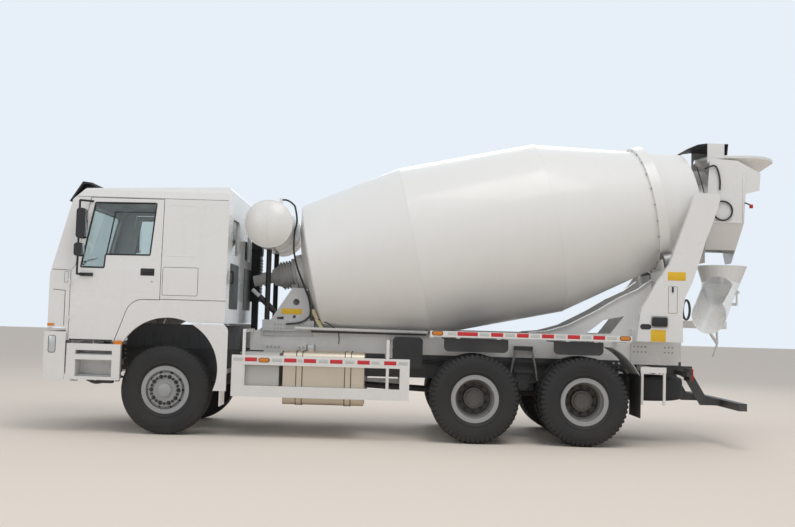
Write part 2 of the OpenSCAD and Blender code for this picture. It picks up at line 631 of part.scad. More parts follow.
// FRONT PEDESTAL: two triangular plates on a base, carrying the drum's drive
fp_x0 = drum_x - 1960;
fp_x1 = drum_x - 1285;
fp_z = 1452;
fp_y = 470;
fp_t = 25;
fp_top = 1800;
saddle_drop = 261.3;
saddle_x0 = fp_x0 + 347;
saddle_x1 = fp_x0 + 475;
saddle_z = (saddle_drop + run_gap) / cos(drum_tilt);
module front_pedestal() placed() color([0.80, 0.81, 0.83]) {
    both_sides() {
        difference() {
            plate([[fp_x0 + 105, fp_z - 1], [fp_x0 + 380, fp_top + 76], [fp_x1 - 132, fp_top + 76],
                [fp_x1 - 60, fp_z + 212], [fp_x1 - 55, fp_z - 1]], -fp_y, -fp_y + fp_t);
            ycyl(fp_x0 + 435, 1690, 42, -fp_y - 1, -fp_y + fp_t + 1);
            ycyl(fp_x0 + 415, 1500, 22, -fp_y - 1, -fp_y + fp_t + 1);
        }
        bar(fp_x0 + 20, fp_x1 - 20, -sub_y - 22, -sub_y, frame_top + 200, sub_top + 2);
    }
    difference() {
        bar(fp_x0, fp_x1, -fp_y - 10, fp_y + 10, sub_top, fp_z);
        bar(fp_x0 + 30, fp_x1 - 30, -fp_y + 40, fp_y - 40, sub_top - 1, fp_z + 1);
    }
    // saddle between the plates
    plate([[saddle_x0, axis_z(saddle_x0) - 357], [saddle_x0, axis_z(saddle_x0) - saddle_z],
        [saddle_x1, axis_z(saddle_x1) - saddle_z], [saddle_x1, axis_z(saddle_x1) - 357]],
        -fp_y + fp_t - 1, fp_y - fp_t + 1);
}

// DRUM: a hollow shell of cones and a barrel with its riding ring, on the raised axis
module on_drum() translate([drum_x, 0, drum_z]) rotate([0, 90 - drum_tilt, 0]) children();
function axis_z(x) = drum_z + (x - drum_x) * tan(drum_tilt);
drive_r = 90;
tail_k = (drum_r - mouth_r) / tail_l;
head_s = -nose_l;
flange_s = head_s - 250;
function cone_r(s) = drum_r - tail_k * (s - barrel_l);
module drum() placed() color(white) on_drum() {
    rotate_extrude($fn = 120) polygon([[drive_r + run_gap, flange_s], [240, flange_s], [240, head_s - 153],
        [600, head_s - 93], [nose_r - 22, head_s - 25], [nose_r, head_s], [drum_r, 0], [drum_r, barrel_l],
        [mouth_r, barrel_l + tail_l], [mouth_r - drum_t, barrel_l + tail_l], [drum_r - drum_t, barrel_l],
        [drum_r - drum_t, 0], [nose_r - drum_t, head_s + 2], [nose_r - 28, head_s - 16],
        [598, head_s - 84], [236, head_s - 141], [drive_r + run_gap, head_s - 141]]);
    // riding ring
    rotate_extrude($fn = 120) polygon([[cone_r(ring_at - ring_w / 2) - 4, ring_at - ring_w / 2],
        [ring_r, ring_at - ring_w / 2], [ring_r, ring_at + ring_w / 2],
        [cone_r(ring_at + ring_w / 2) - 4, ring_at + ring_w / 2]]);
}

// SUPPORT ROLLERS: one on each side under the riding ring
roller_w = ring_w - 10;
roller_d = ring_r + roller_r + seat;
roller_axle = 30;
module at_roller() on_drum() translate([roller_d * cos(roller_a), -roller_d * sin(roller_a), ring_at]) children();
module roller() color(dark) at_roller() difference() {
    translate([0, 0, -roller_w / 2]) cylinder(r = roller_r, h = roller_w);
    translate([0, 0, -roller_w]) cylinder(r = roller_axle + run_gap, h = 2 * roller_w);
}
module roller_left() placed() roller();
module roller_right() placed() mirror([0, 1, 0]) roller();

// DRUM DRIVE: motor and ribbed gearbox on the drum's axis, with its foot on the saddle
module drum_drive() placed() color([0.78, 0.79, 0.80]) on_drum() {
    translate([0, 0, flange_s - 60]) cylinder(r = drive_r, h = 155);
    translate([0, 0, flange_s - 50]) cylinder(r = 205, h = 43);
    translate([0, 0, flange_s - 230]) cylinder(r = 165, h = 190);
    for (n = [0 : 3]) translate([0, 0, flange_s - 210 + 40 * n]) cylinder(r = 188, h = 18);
    translate([0, 0, flange_s - 330]) cylinder(r1 = 105, r2 = 150, h = 101);
    translate([0, 0, flange_s - 600]) cylinder(r = 72, h = 280);
    translate([0, 0, flange_s - 470]) cylinder(r = 92, h = 60);
    translate([150, -150, flange_s - 103]) cube([saddle_drop - 150, 300, 90]);
}

// WATER TANK: a cylinder with dished ends across the truck, on two posts
wt_x = fp_x0 + 85;
wt_z = 2670;
wt_r = 302;
wt_dish = 440;
wt_y = 880;
dish_a = asin(wt_r / wt_dish);
tank_end = [for (a = [0 : dish_a / 8 : dish_a + 0.01])
    [wt_dish * sin(a), wt_y + wt_dish * (cos(a) - cos(dish_a))]];
module water_tank() placed() color(white) {
    translate([wt_x, 0, wt_z]) rotate([90, 0, 0]) rotate_extrude($fn = 96)
        polygon(concat(tank_end, [for (i = [len(tank_end) - 1 : -1 : 0]) [tank_end[i][0], -tank_end[i][1]]]));
    both_sides() translate([fp_x0 + 55, -fp_y + 25, fp_z]) cylinder(r = 34, h = wt_z - wt_r + 60 - fp_z);
    // hose spigot
    translate([wt_x + 120, -600, 2900]) cylinder(r = 20, h = 132);
}

// AIR INTAKE: upright duct behind the cab on the right
module air_intake() placed() color(black) {
    bar(735, 868, 800, 1050, 1700, 2560);
    xcyl(925, 2440, 85, 735, 888);
    bar(760, 850, 820, 900, 990, 1701);
    bar(760, 850, rail_y, 821, 990, 1040);
}

// REAR PEDESTAL: two columns, cross boxes, side braces and the roller brackets
col_in = ped_y - col_t;
col_out = ped_y;
module column_outline() translate([x_tail, 0]) polygon([[-690, sub_top + 1], [-640, 1711], [-444, 2069], [-287, 2303],
    [-76, 2883], [25, 3153], [60, 3230], [350, 3230], [350, 3130], [269, 2868], [182, 2633], [118, 2413],
    [9, 2076], [-82, 1881], [-107, 1690], [-101, sub_top + 1]]);
brace_top = [[-2010, sub_top + 80], [-1780, 1412], [-1500, 1495], [-1110, 1700], [-850, 1863], [-590, 1990],
    [-400, 2130]];
module rear_pedestal() placed() color(white) {
    both_sides() {
        side_cut(-col_out, -col_in) column_outline();
        // braces with their top flanges
        translate([x_tail, 0, 0]) {
            difference() {
                plate(concat([[-400, sub_top], [-2010, sub_top]], brace_top), -sub_y + 10, -sub_y + 26);
                plate([[-1250, 1388], [-1020, 1573], [-750, 1632], [-930, 1397]], -sub_y, -sub_y + 40);
            }
            plate(concat(brace_top, [for (i = [len(brace_top) - 1 : -1 : 0]) brace_top[i] - [0, 14]]),
                -sub_y - 30, -sub_y + 60);
            // legs down the rails
            bar(-660, -40, -sub_y - 22, -sub_y, frame_top - 45, sub_top + 1);
        }
        // upper brackets
        bar(x_tail + 290, x_tail + 350, -col_in - 1, -mast_y - 12, 3140, 3200);
        // roller brackets
        on_drum() {
            for (s = [-ring_w / 2 - 22, ring_w / 2 + 2])
                translate([roller_d * cos(roller_a) - 45, -roller_d * sin(roller_a) - 55, ring_at + s])
                    cube([300, 110, 20]);
            translate([roller_d * cos(roller_a), -roller_d * sin(roller_a), ring_at - ring_w / 2 - 21])
                cylinder(r = roller_axle, h = ring_w + 42);
        }
    }
    bar(x_tail - 680, x_tail - 105, -col_in - 1, col_in + 1, sub_top, sub_top + 150);
    on_drum() translate([roller_d * cos(roller_a) + roller_r + 100, -col_in - 1, ring_at - 100])
        cube([130, 2 * col_in + 2, 200]);
    // chute arm with its pin
    bar(x_tail - 110, swivel_x, -70, 70, 1500, 1600);
    bar(x_tail - 300, x_tail - 109, -70, 70, sub_top + 149, 1600);
    translate([swivel_x, 0, 1500]) cylinder(r = 75, h = 100);
    translate([swivel_x, 0, 1599]) cylinder(r = pin_r, h = 246);
}
pin_r = 40;
mast_y = 500;
hop_x = x_tail + tail_over - hop_r;
swivel_x = x_tail + swivel_back;

// HOPPER: a plate funnel with its chute into the drum's mouth and side plates
hop_t = 5;
module hopper() placed() color(white) {
    translate([hop_x, 0, hop_z]) difference() {
        rotate_extrude($fn = 96) polygon([[hop_r, 0], [hop_r, -32], [185, -262], [185, -330], [185 - hop_t, -330],
            [185 - hop_t, -260], [hop_r - hop_t, -30], [hop_r - hop_t, 0]]);
    }
    difference() {
        rod([hop_x + 60, 0, hop_z - 330], [hop_x - 700, 0, hop_z - 640], 178);
        rod([hop_x + 160, 0, hop_z - 330 + 41], [hop_x - 800, 0, hop_z - 640 - 41], 172);
        bar(hop_x - 900, hop_x + 400, -300, 300, hop_z - 330, hop_z + 200);
        bar(hop_x + 186, hop_x + 400, -300, 300, hop_z - 800, hop_z + 200);
    }
    // mast plates, spout stays and the cover's side plates
    both_sides() {
        plate([[x_tail + 290, 2890], [x_tail + 782, 2890], [x_tail + 800, 3285], [hop_x + 185, 3330],
            [hop_x + 200, 3560], [hop_x - 105, 3720], [x_tail + 330, 3740], [x_tail + 290, 3230]],
            -mast_y - 12, -mast_y);
        bar(hop_x - 60, hop_x + 60, -mast_y - 1, -181, 3470, 3500);
        plate([[x_tail + 335, 3700], [x_tail + 335, cover_z - 2], [x_tail + 560, cover_z - 2],
            [x_tail + 560, 3700]], -368, -360);
        bar(x_tail + 345, x_tail + 375, -mast_y - 1, -361, 3705, 3730);
    }
}

// HOPPER COVER: a bent rubber sheet over the drum's mouth
cover_z = 3965;
module hopper_cover() placed() color(black) translate([x_tail, 0, 0])
    plate([[60, 3880], [210, 3948], [320, cover_z], [615, cover_z], [597, 3740], [583, 3742],
        [600, cover_z - 14], [322, cover_z - 14], [214, 3935], [66, 3868]], -360 + seat, 360 - seat);

// COLLECTOR: a plate funnel under the drum's mouth
// Half width of the spout, narrow enough to dip into the tilted chute's head
spout_y = 120;
col_z0 = 2385;
col_z1 = 2868;
col_z2 = 3100;
module funnel_side(inset) translate([x_tail, 0]) polygon([[268 + inset, col_z2 + 2 * inset], [268 + inset, col_z1],
    [392 + inset, col_z0 - 2 * inset], [748 - inset, col_z0 - 2 * inset], [778 - inset, col_z1],
    [778 - inset, col_z2 + 2 * inset]]);
module funnel_rear(inset) polygon([[-mast_y + inset, col_z2 + 2 * inset], [-mast_y + inset, col_z1],
    [-spout_y + inset, col_z0 - 2 * inset], [spout_y - inset, col_z0 - 2 * inset], [mast_y - inset, col_z1],
    [mast_y - inset, col_z2 + 2 * inset]]);
module collector() placed() color(white) difference() {
    intersection() {
        side_cut(-mast_y, mast_y) funnel_side(0);
        xcut(x_tail + 200, x_tail + 900) funnel_rear(0);
    }
    intersection() {
        side_cut(-mast_y, mast_y) funnel_side(6);
        xcut(x_tail + 200, x_tail + 900) funnel_rear(6);
    }
    bar(x_tail + 200, x_tail + 345, -mast_y + 7, mast_y - 7, col_z1 - 325, col_z2 + 100);
}

// LADDER: upright ladder on the right with its platform
lad_x = x_tail + 240;
platform_z = 2890;
module ladder() placed() color(white) {
    for (y = [890, 1210]) bar(lad_x, lad_x + 40, y, y + 22, 620, platform_z - seat);
    for (n = [0 : 7]) ycyl(lad_x + 20, 700 + 280 * n, 14, 900, 1220);
    for (z = [1500, 2690]) bar(x_tail - (z < 2000 ? 250 : 0), lad_x + 40, col_out, 891, z, z + 40);
    // platform, resting on the uprights and against the mast plate
    bar(lad_x, x_tail + 1020, col_out + 1, 1232, platform_z, platform_z + 25);
    bar(x_tail + 290, x_tail + 1020, mast_y + 12, col_out + 2, platform_z, platform_z + 25);
}

// UNDERRUN GUARD: cross bar on two bent brackets, with the lamp carriers
module underrun_guard() placed() color(dark) {
    both_sides() {
        translate([x_tail, 0, 0]) plate([[-300, 912], [-300, 1000], [140, 1000], [150, 900], [330, 600],
            [560, 580], [560, 500], [250, 500], [40, 850], [-60, 900]], -sub_y - 16, -sub_y);
        bar(x_tail - 90, x_tail - 60, -1020, -sub_y - 15, 890, 950);
    }
    bar(x_tail + 520, x_tail + 620, -1150, 1150, 488, 580);
}

// TAIL LAMPS
module tail_lamps() placed() color([0.7, 0.05, 0.05]) both_sides()
    side_cut(-1010, -770) soft_rect(x_tail - 60, 838, x_tail - 10, 985, 12);

// SPARE WHEEL: lies flat under the tail
spare_x = x_rear + 975;
spare_z = 691;
module spare_wheel() placed() color(rubber) translate([spare_x, 0, spare_z]) {
    tyre();
    barrel();
    difference() {
        translate([0, 0, -7]) cylinder(r = seat_r - 12, h = 14);
        for (i = [0 : nut_n - 1]) rotate([0, 0, i * 360 / nut_n]) translate([nut_pcd / 2, 0, -20]) cylinder(r = 13, h = 40);
    }
}

// WATER HOSES: thin black hose from the tank down past the pedestal; x runs from the tank's axis
hose_r = 12;
hose_pts = [[140 + seat, -600, 3012], [175, -600, 3013], [221, -600, 3000], [275, -600, 2962],
    [308, -600, 2911], [335, -600, 2740], [310, -600, 2600], [305, -600, 2480], [310, -600, 2336],
    [360, -590, 2130], [454, -560, 1899], [520, -530, 1720], [542, -510, 1552], [495, -505, 1470],
    [393, -505, 1420], [230, -505, 1400]];
function unit(v) = v / norm(v);
function ring_at_pt(p, i, r, n) = let(
    t = unit(p[min(i + 1, len(p) - 1)] - p[max(i - 1, 0)]),
    u = unit(cross(t, [0, 1, 0])), v = cross(t, u))
    [for (k = [0 : n - 1]) p[i] + r * cos(k * 360 / n) * u + r * sin(k * 360 / n) * v];
module tube(p, r, n) {
    m = len(p);
    polyhedron([for (i = [0 : m - 1]) each ring_at_pt(p, i, r, n)],
        concat([[for (k = [0 : n - 1]) k]], [[for (k = [n - 1 : -1 : 0]) (m - 1) * n + k]],
        [for (i = [0 : m - 2], k = [0 : n - 1])
            [i * n + k, (i + 1) * n + k, (i + 1) * n + (k + 1) % n, i * n + (k + 1) % n]]));
}
module water_hoses() placed() color(black) translate([wt_x, 0, 0]) tube(hose_pts, hose_r, 8);

// CAB: outer form from side, plan and front views, each drawn again inset for the inner faces
cab_low = 1262;
cab_skirt = 1386;
cab_y = cab_w / 2;
wall = cab_t;
nose_pts = [[-1532, cab_low], [-1545, 1500], [-1516, 1760], [-1436, 2040], [-1232, 2880], [-1085, 3030]];
module cab_side(inset) polygon(concat([for (p = nose_pts) p + [inset, p[1] > 3000 ? -inset : 0]],
    [[cab_rear - inset - 25, cab_top - inset], [cab_rear - inset, cab_top - 40 - inset], [cab_rear - inset, cab_low]]));
module cab_plan(inset) intersection() {
    union() {
        translate([-1545 + inset + 130, -cab_y + inset]) square([3000, cab_w - 2 * inset]);
        translate([-1545 + inset, -cab_y + inset + 130]) square([3000, cab_w - 2 * inset - 260]);
        for (y = [-cab_y + inset + 130, cab_y - inset - 130]) translate([-1545 + inset + 130, y]) circle(130);
    }
    translate([-1545 + inset + 9000, 0]) circle(9000, $fn = 720);
}
module cab_front(inset) union() {
    polygon([[-cab_y + inset, 900], [-cab_y + inset, 2000], [-cab_y + inset + 52, 2900], [-cab_y + inset + 90, 3010],
        [-cab_y + inset + 190, cab_top - inset], [cab_y - inset - 190, cab_top - inset], [cab_y - inset - 90, 3010],
        [cab_y - inset - 52, 2900], [cab_y - inset, 2000], [cab_y - inset, 900]]);
}
module cab_form(inset) intersection() {
    side_cut(-1300, 1300) cab_side(inset);
    translate([0, 0, 1000]) linear_extrude(2300) cab_plan(inset);
    xcut(-1700, 900) cab_front(inset);
}
// The side's outline below the door line: corner panel, fender band and rear skirt
module side_band() difference() {
    polygon([[-1232, door_z], [-1232, 1600], [cab_rear, 1600], [cab_rear, cab_skirt], [arch_x, cab_skirt],
        [arch_x, door_z]]);
    translate([arch_x, arch_z]) circle(arch_r, $fn = 120);
    polygon([[-1200, door_z - 1], [-1200, cab_low], [-720, cab_low], [-646, door_z - 1]]);
}
// Door outline, grown by g
door_top = 2905;
door_rear = -100;
door_front = -1200;
module door_shape(g) difference() {
    polygon([[door_front - g, door_z - g], [door_front - g, 1990], [door_front + 52 - g, 2060],
        [door_front + 197 - g, door_top + g], [door_rear + g, door_top + g], [door_rear + g, door_z - g]]);
    translate([-300, 1440]) circle(220 - g);
    polygon([[-646 + 1.06 * g, door_z - g - 1], [-300 - (220 - g) * cos(20), 1440 + (220 - g) * sin(20)],
        [-300, 1660 - g], [door_rear + g + 1, 1660 - g], [door_rear + g + 1, door_z - g - 1]]);
}
// Door window outline, shrunk by g
module door_window(g) offset(delta = -g) offset(r = 40, $fn = 24) offset(delta = -40)
    polygon([[-948, 2846], [-190, 2856], [-241, 2206], [-790, 2200], [-800, 2036], [-1088, 2036]]);
screen_z0 = 2075;
screen_z1 = 2850;
screen_y = 1010;
module screen_shape(g) soft_rect(-screen_y + g, screen_z0 + g, screen_y - g, screen_z1 - g, 60);
lid_z1 = 2000;
lid_z0 = 1290;
lid_y = 1010;
lid_t = 30;
cabin_x = -1370;
// Axis of the front panel's hinge
lid_ax = -1437;
lid_az = 1985;
lid_pin = 8;
module cab_shell() placed() color(white) {
    cab_body();
    both_sides() door_hinge_body();
}
module cab_body() difference() {
    union() {
        difference() {
            intersection() {
                cab_form(0);
                bar(-1700, 900, -1300, 1300, cab_low, 3300);
            }
            // cabin above the floor
            intersection() {
                cab_form(wall);
                bar(cabin_x, 900, -1300, 1300, floor_z + 30, 3300);
            }
            // space below the floor
            intersection() {
                cab_form(wall);
                bar(cabin_x, 900, -1300, 1300, 1000, floor_z);
            }
            // wheel arches and rear skirt
            ycyl(arch_x, arch_z, arch_r, -1300, 1300);
            bar(arch_x, 900, -1300, 1300, 1000, cab_skirt);
        }
        // fender band and corner panel below the nose line
        intersection() {
            difference() {
                translate([0, 0, 1000]) linear_extrude(900) cab_plan(0);
                translate([0, 0, 999]) linear_extrude(902) cab_plan(wall);
            }
            side_cut(-1300, 1300) side_band();
        }
        // sills inside the doors
        both_sides() {
            bar(-1188, -660, -cab_y + wall + 12, -cab_y + wall + 62, 1185, floor_z + 1);
            // arms down to the tilt axis
            plate([[cab_px - 50, cab_pz], [cab_px - 48, cab_pz + 60], [-1200, floor_z + 1], [-1040, floor_z + 1],
                [cab_px + 45, cab_pz - 10]], -arm_y1, -arm_y0);
            ycyl(cab_px, cab_pz, 52, -arm_y1, -arm_y0);
        }
    }
    // room for the bumper's corners and for its face as the cab tilts, the tilt and hinge bores
    both_sides() intersection() {
        ycyl(cab_px, cab_pz, corner_clear, -cab_y - 1, -cab_y + wall);
        bar(-1700, -1232, -1300, -1100, 1000, 1400);
    }
    difference() {
        ycyl(cab_px, cab_pz, cab_clear, -cab_y + wall, cab_y - wall);
        both_sides() plate([[cab_px - 60, 900], [cab_px - 60, cab_pz + 70], [-1210, 1500], [-1000, 1500], [-1000, 900]],
            -arm_y1, -arm_y0);
        both_sides() bar(-1189, -600, -cab_y + wall + 12, -cab_y + wall + 62, 1100, 1500);
    }
    both_sides() {
        ycyl(cab_px, cab_pz, cab_pr + run_gap, -arm_y1 - 1, -arm_y0 + 1);
        ycyl(lid_ax, lid_az, lid_pin + run_gap, -lid_y - seam - 27, -lid_y - seam + 1);
    }
    // door openings
    both_sides() intersection() {
        side_cut(-1300, -900) door_shape(seam);
        difference() {
            bar(-1400, 0, -1300, -900, 1000, 3000);
            xcut(-1500, 100) cab_front(wall + seam);
        }
    }
    // windscreen, rear windows
    xcut(-1700, -1000) screen_shape(0);
    for (y = [-560, 560]) xcut(cab_rear - 100, cab_rear + 10) soft_rect(y - 270, 2260, y + 270, 2720, 50);
    // recess for the front panel
    difference() {
        bar(-1700, -1300, -lid_y - seam, lid_y + seam, lid_z0 - 40, lid_z1 + seam);
        cab_form(lid_t + seam);
    }
}
module cab_glass() placed() color(glass) {
    intersection() {
        difference() {
            cab_form(14);
            cab_form(20);
        }
        xcut(-1700, -1000) screen_shape(seat);
        bar(-1700, -1000, -1300, 1300, 2000, 2900);
    }
    for (y = [-560, 560]) xcut(cab_rear - 30, cab_rear - 24)
        soft_rect(y - 270 + seat, 2260 + seat, y + 270 - seat, 2720 - seat, 50);
}
module front_panel() placed() color(white) difference() {
    union() {
        intersection() {
            difference() {
                cab_form(0);
                cab_form(lid_t);
            }
            union() {
                bar(-1700, -1300, -lid_y, lid_y, lid_z0 - 28, lid_az);
                ycyl(lid_ax, lid_az, lid_t / 2, -lid_y, lid_y);
            }
        }
        both_sides() ycyl(lid_ax, lid_az, lid_pin, -lid_y - seam - 22, -lid_y + 5);
    }
    ycyl(cab_px, cab_pz, cab_clear, -lid_y - 1, lid_y + 1);
    // grille slots
    for (z = [1330, 1400, 1470]) bar(-1700, -1300, -620, 620, z, z + 36);
    for (z = [1640, 1700]) bar(-1700, -1300, -700, 700, z, z + 22);
}
hinge_x = -1203;
hinge_y = cab_y + 10;
hinge_z = [1400, 1850];
module door_hinge_body() for (z = hinge_z) {
    for (z1 = [z - 32, z + 18]) {
        translate([hinge_x, -hinge_y, z1]) cylinder(r = 9, h = 14);
        bar(hinge_x - 38, hinge_x, -hinge_y + 4, -hinge_y + 11, z1, z1 + 14);
    }
    translate([hinge_x, -hinge_y, z - 32]) cylinder(r = 5, h = 64);
}
module door() {
    for (z = hinge_z) difference() {
        union() {
            translate([hinge_x, -hinge_y, z - 15]) cylinder(r = 9, h = 30);
            bar(hinge_x, hinge_x + 36, -hinge_y + 4, -hinge_y + 11, z - 15, z + 15);
        }
        translate([hinge_x, -hinge_y, z - 20]) cylinder(r = 5 + run_gap, h = 40);
    }
    difference() {
        intersection() {
            xcut(-1400, 0) cab_front(0);
            side_cut(-1300, -900) door_shape(0);
        }
        xcut(-1500, 100) cab_front(wall);
        side_cut(-1300, -900) door_window(0);
        // handle recess
        bar(-347, -175, -cab_y - 20, -cab_y + 25, 1950, 2040);
    }
    // handle bar
    bar(-352, -170, -cab_y + 3, -cab_y + 12, 1985, 2008);
}
module door_left() placed() color(white) door();
module door_right() placed() color(white) mirror([0, 1, 0]) door();
module door_glass() color(glass) intersection() {
    difference() {
        xcut(-1400, 0) cab_front(18);
        xcut(-1500, 100) cab_front(24);
    }
    side_cut(-1300, -900) door_window(seat);
}
module door_glass_left() placed() door_glass();
module door_glass_right() placed() mirror([0, 1, 0]) door_glass();

// MIRRORS: main and wide-angle heads on a tube arm from the door
mir_y = 1345;
module mirror_arm() color(black) difference() {
    mirror_form();
    xcut(-1700, 100) cab_front(-seat);
}
module mirror_form() {
    translate([0, -mir_y, 0]) {
        side_cut(-60, 60) soft_rect(-1110, 2380, -1000, 2750, 40);
        side_cut(-60, 60) soft_rect(-1125, 2160, -1025, 2325, 40);
    }
    rod([-1090, -mir_y, 1940], [-1090, -mir_y, 2850], 13);
    rod([-1090, -mir_y, 2850], [-960, -cab_y + 90, 2862], 13);
    rod([-1090, -mir_y, 1945], [-1060, -cab_y - 5, 1945], 13);
    bar(-1090, -930, -cab_y - 22, -cab_y + 1, 1925, 1965);
}
module mirror_left() placed() mirror_arm();
module mirror_right() placed() mirror([0, 1, 0]) mirror_arm();

// SUN VISOR over the windscreen
module sun_visor() placed() color(black) difference() {
    union() {
        plate([[-1318, 2868], [-1300, 2862], [-1150, 3096], [-1045, 3086], [-1040, 3108], [-1160, 3122]], -1040, 1040);
        for (y = [-900, 0, 900]) plate([[-1200, 3018], [-1148, 3098], [-1060, 3088], [-1060, 3000], [-1120, 2980]], y - 12, y + 12);
    }
    cab_form(0);
}

// CAB INTERIOR: dash, wheel, two seats and the bunk
module seat_at(y) {
    bar(-520, 20, y - 260, y + 260, floor_z + 30, floor_z + 190);
    bar(-560, 0, y - 270, y + 270, floor_z + 189, floor_z + 330);
    plate([[-60, floor_z + 250], [80, floor_z + 250], [190, floor_z + 1010], [90, floor_z + 1020]], y - 250, y + 250);
}
module cab_interior() placed() color([0.25, 0.25, 0.26]) {
    seat_at(-640);
    seat_at(640);
    bar(240, cab_rear - wall - 1, -1100, 1100, floor_z + 30, floor_z + 420);
    plate([[-1370, floor_z + 30], [-1330, 1990], [-1180, 2060], [-980, 2000], [-940, 1850], [-1150, 1780],
        [-1200, floor_z + 30]], -1120, 1120);
    translate([-880, -640, 2060]) rotate([0, -40, 0]) rotate_extrude($fn = 48) translate([215, 0]) circle(17, $fn = 24);
    translate([-880, -640, 2060]) rotate([0, -40, 0]) {
        cube([420, 40, 20], center = true);
        translate([0, 0, -250]) cylinder(r = 30, h = 260);
    }
}

// CHUTE BRACKET: sleeve on the pin with a fork under the chute
chute_head = -116;
fork_y = 190;
module chute_bracket() placed() color(white) translate([swivel_x, 0, 0]) rotate([0, 0, chute_head]) {
    difference() {
        union() {
            translate([0, 0, 1606]) cylinder(r = 62, h = 234);
            bar(-62, 20, -fork_y - 22, fork_y + 22, 1820, 1855);
            both_sides() bar(-32, 32, -fork_y - 22, -fork_y, 1820, chute_z);
            both_sides() ycyl(0, chute_z, 32, -fork_y - 22, -fork_y);
        }
        translate([0, 0, 1500]) cylinder(r = pin_r + run_gap, h = 404);
    }
    both_sides() ycyl(0, chute_z, 18, -fork_y - 45, -fork_y + 36);
}

// CHUTE: a rounded funnel head running out into a round trough
chute_l = 1120;
chute_z = 2000;
module chute_form(t) {
    hull() {
        translate([0, 0, 2352]) cylinder(r = 330 - t, h = 3, $fn = 32);
        translate([60, 0, 2120]) cylinder(r = 250 - t, h = 1, $fn = 32);
    }
    hull() {
        translate([60, 0, 2120]) cylinder(r = 250 - t, h = 1, $fn = 32);
        translate([300, 0, 1990]) sphere(r = 215 - t, $fn = 32);
    }
    hull() {
        translate([300, 0, 1990]) sphere(r = 215 - t, $fn = 32);
        translate([chute_l, 0, 1640]) sphere(r = 215 - t, $fn = 32);
    }
}
module chute() placed() color(white) translate([swivel_x, 0, 0]) rotate([0, 0, chute_head]) {
    difference() {
        union() {
            chute_form(0);
            both_sides() bar(-40, 40, -fork_y + 6, -fork_y + 28, chute_z - 38, chute_z + 130);
        }
        chute_form(6);
        both_sides() ycyl(0, chute_z, 18 + run_gap, -fork_y - 45, -fork_y + 40);
        // open top
        translate([0, 0, 2350]) cylinder(r = 400, h = 30);
        plate([[330, 2500], [330, 2080], [chute_l + 400, 1640], [chute_l + 400, 2500]], -400, 400);
        plate([[chute_l - 60, 2400], [chute_l - 60, 1000], [chute_l + 400, 1000], [chute_l + 400, 2400]], -400, 400);
    }
}

frame();
cross_members();
power_unit();
front_bumper();
head_lamps();
cab_steps();
mudguards_front();
fuel_tank();
side_boxes();
side_guards();
front_axle();
drive_axles();
bogie_springs();
subframe();
mudguards_rear();
front_pedestal();
drum_drive();
water_tank();
air_intake();
rear_pedestal();
hopper();
hopper_cover();
collector();
ladder();
underrun_guard();
tail_lamps();
spare_wheel();
water_hoses();
cab_shell();
cab_glass();
cab_interior();
sun_visor();
front_panel();
door_left();
door_right();
door_glass_left();
door_glass_right();
mirror_left();
mirror_right();
knuckle_left();
knuckle_right();
front_rim_left();
front_rim_right();
front_tyre_left();
front_tyre_right();
mid_rims_left();
mid_rims_right();
mid_tyres_left();
mid_tyres_right();
rear_rims_left();
rear_rims_right();
rear_tyres_left();
rear_tyres_right();
drum();
roller_left();
roller_right();
chute_bracket();
chute();
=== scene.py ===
import math
import bmesh
import bpy
import numpy as np
from mathutils import Matrix, Vector


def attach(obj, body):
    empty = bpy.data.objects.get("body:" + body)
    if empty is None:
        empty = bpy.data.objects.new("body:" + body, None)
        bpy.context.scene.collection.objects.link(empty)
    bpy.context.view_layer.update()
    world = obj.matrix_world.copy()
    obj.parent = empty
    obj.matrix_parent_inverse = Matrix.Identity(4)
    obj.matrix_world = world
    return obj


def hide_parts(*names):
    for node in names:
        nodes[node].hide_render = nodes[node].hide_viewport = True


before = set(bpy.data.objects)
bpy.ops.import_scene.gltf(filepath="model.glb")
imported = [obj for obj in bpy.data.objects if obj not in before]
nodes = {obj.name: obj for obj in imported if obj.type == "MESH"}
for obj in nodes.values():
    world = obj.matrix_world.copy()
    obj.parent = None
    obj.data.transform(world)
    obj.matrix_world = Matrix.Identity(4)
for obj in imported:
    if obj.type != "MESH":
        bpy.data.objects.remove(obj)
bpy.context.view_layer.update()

# Every x below is measured rearwards from the front axle, in metres, as in the part's source.
AXLE_X = -3.1575


# CHASSIS FRAME: two pressed steel channels with riveted cross members, sprayed in chassis
# black. Bolt groups show where the cross members meet the rails, and the air and wiring
# lines run along the web.
def new_socket(group, name, kind, way, value=None):
    """One input or output of a node group."""
    socket = group.interface.new_socket(name=name, in_out=way, socket_type=kind)
    if value is not None:
        socket.default_value = value


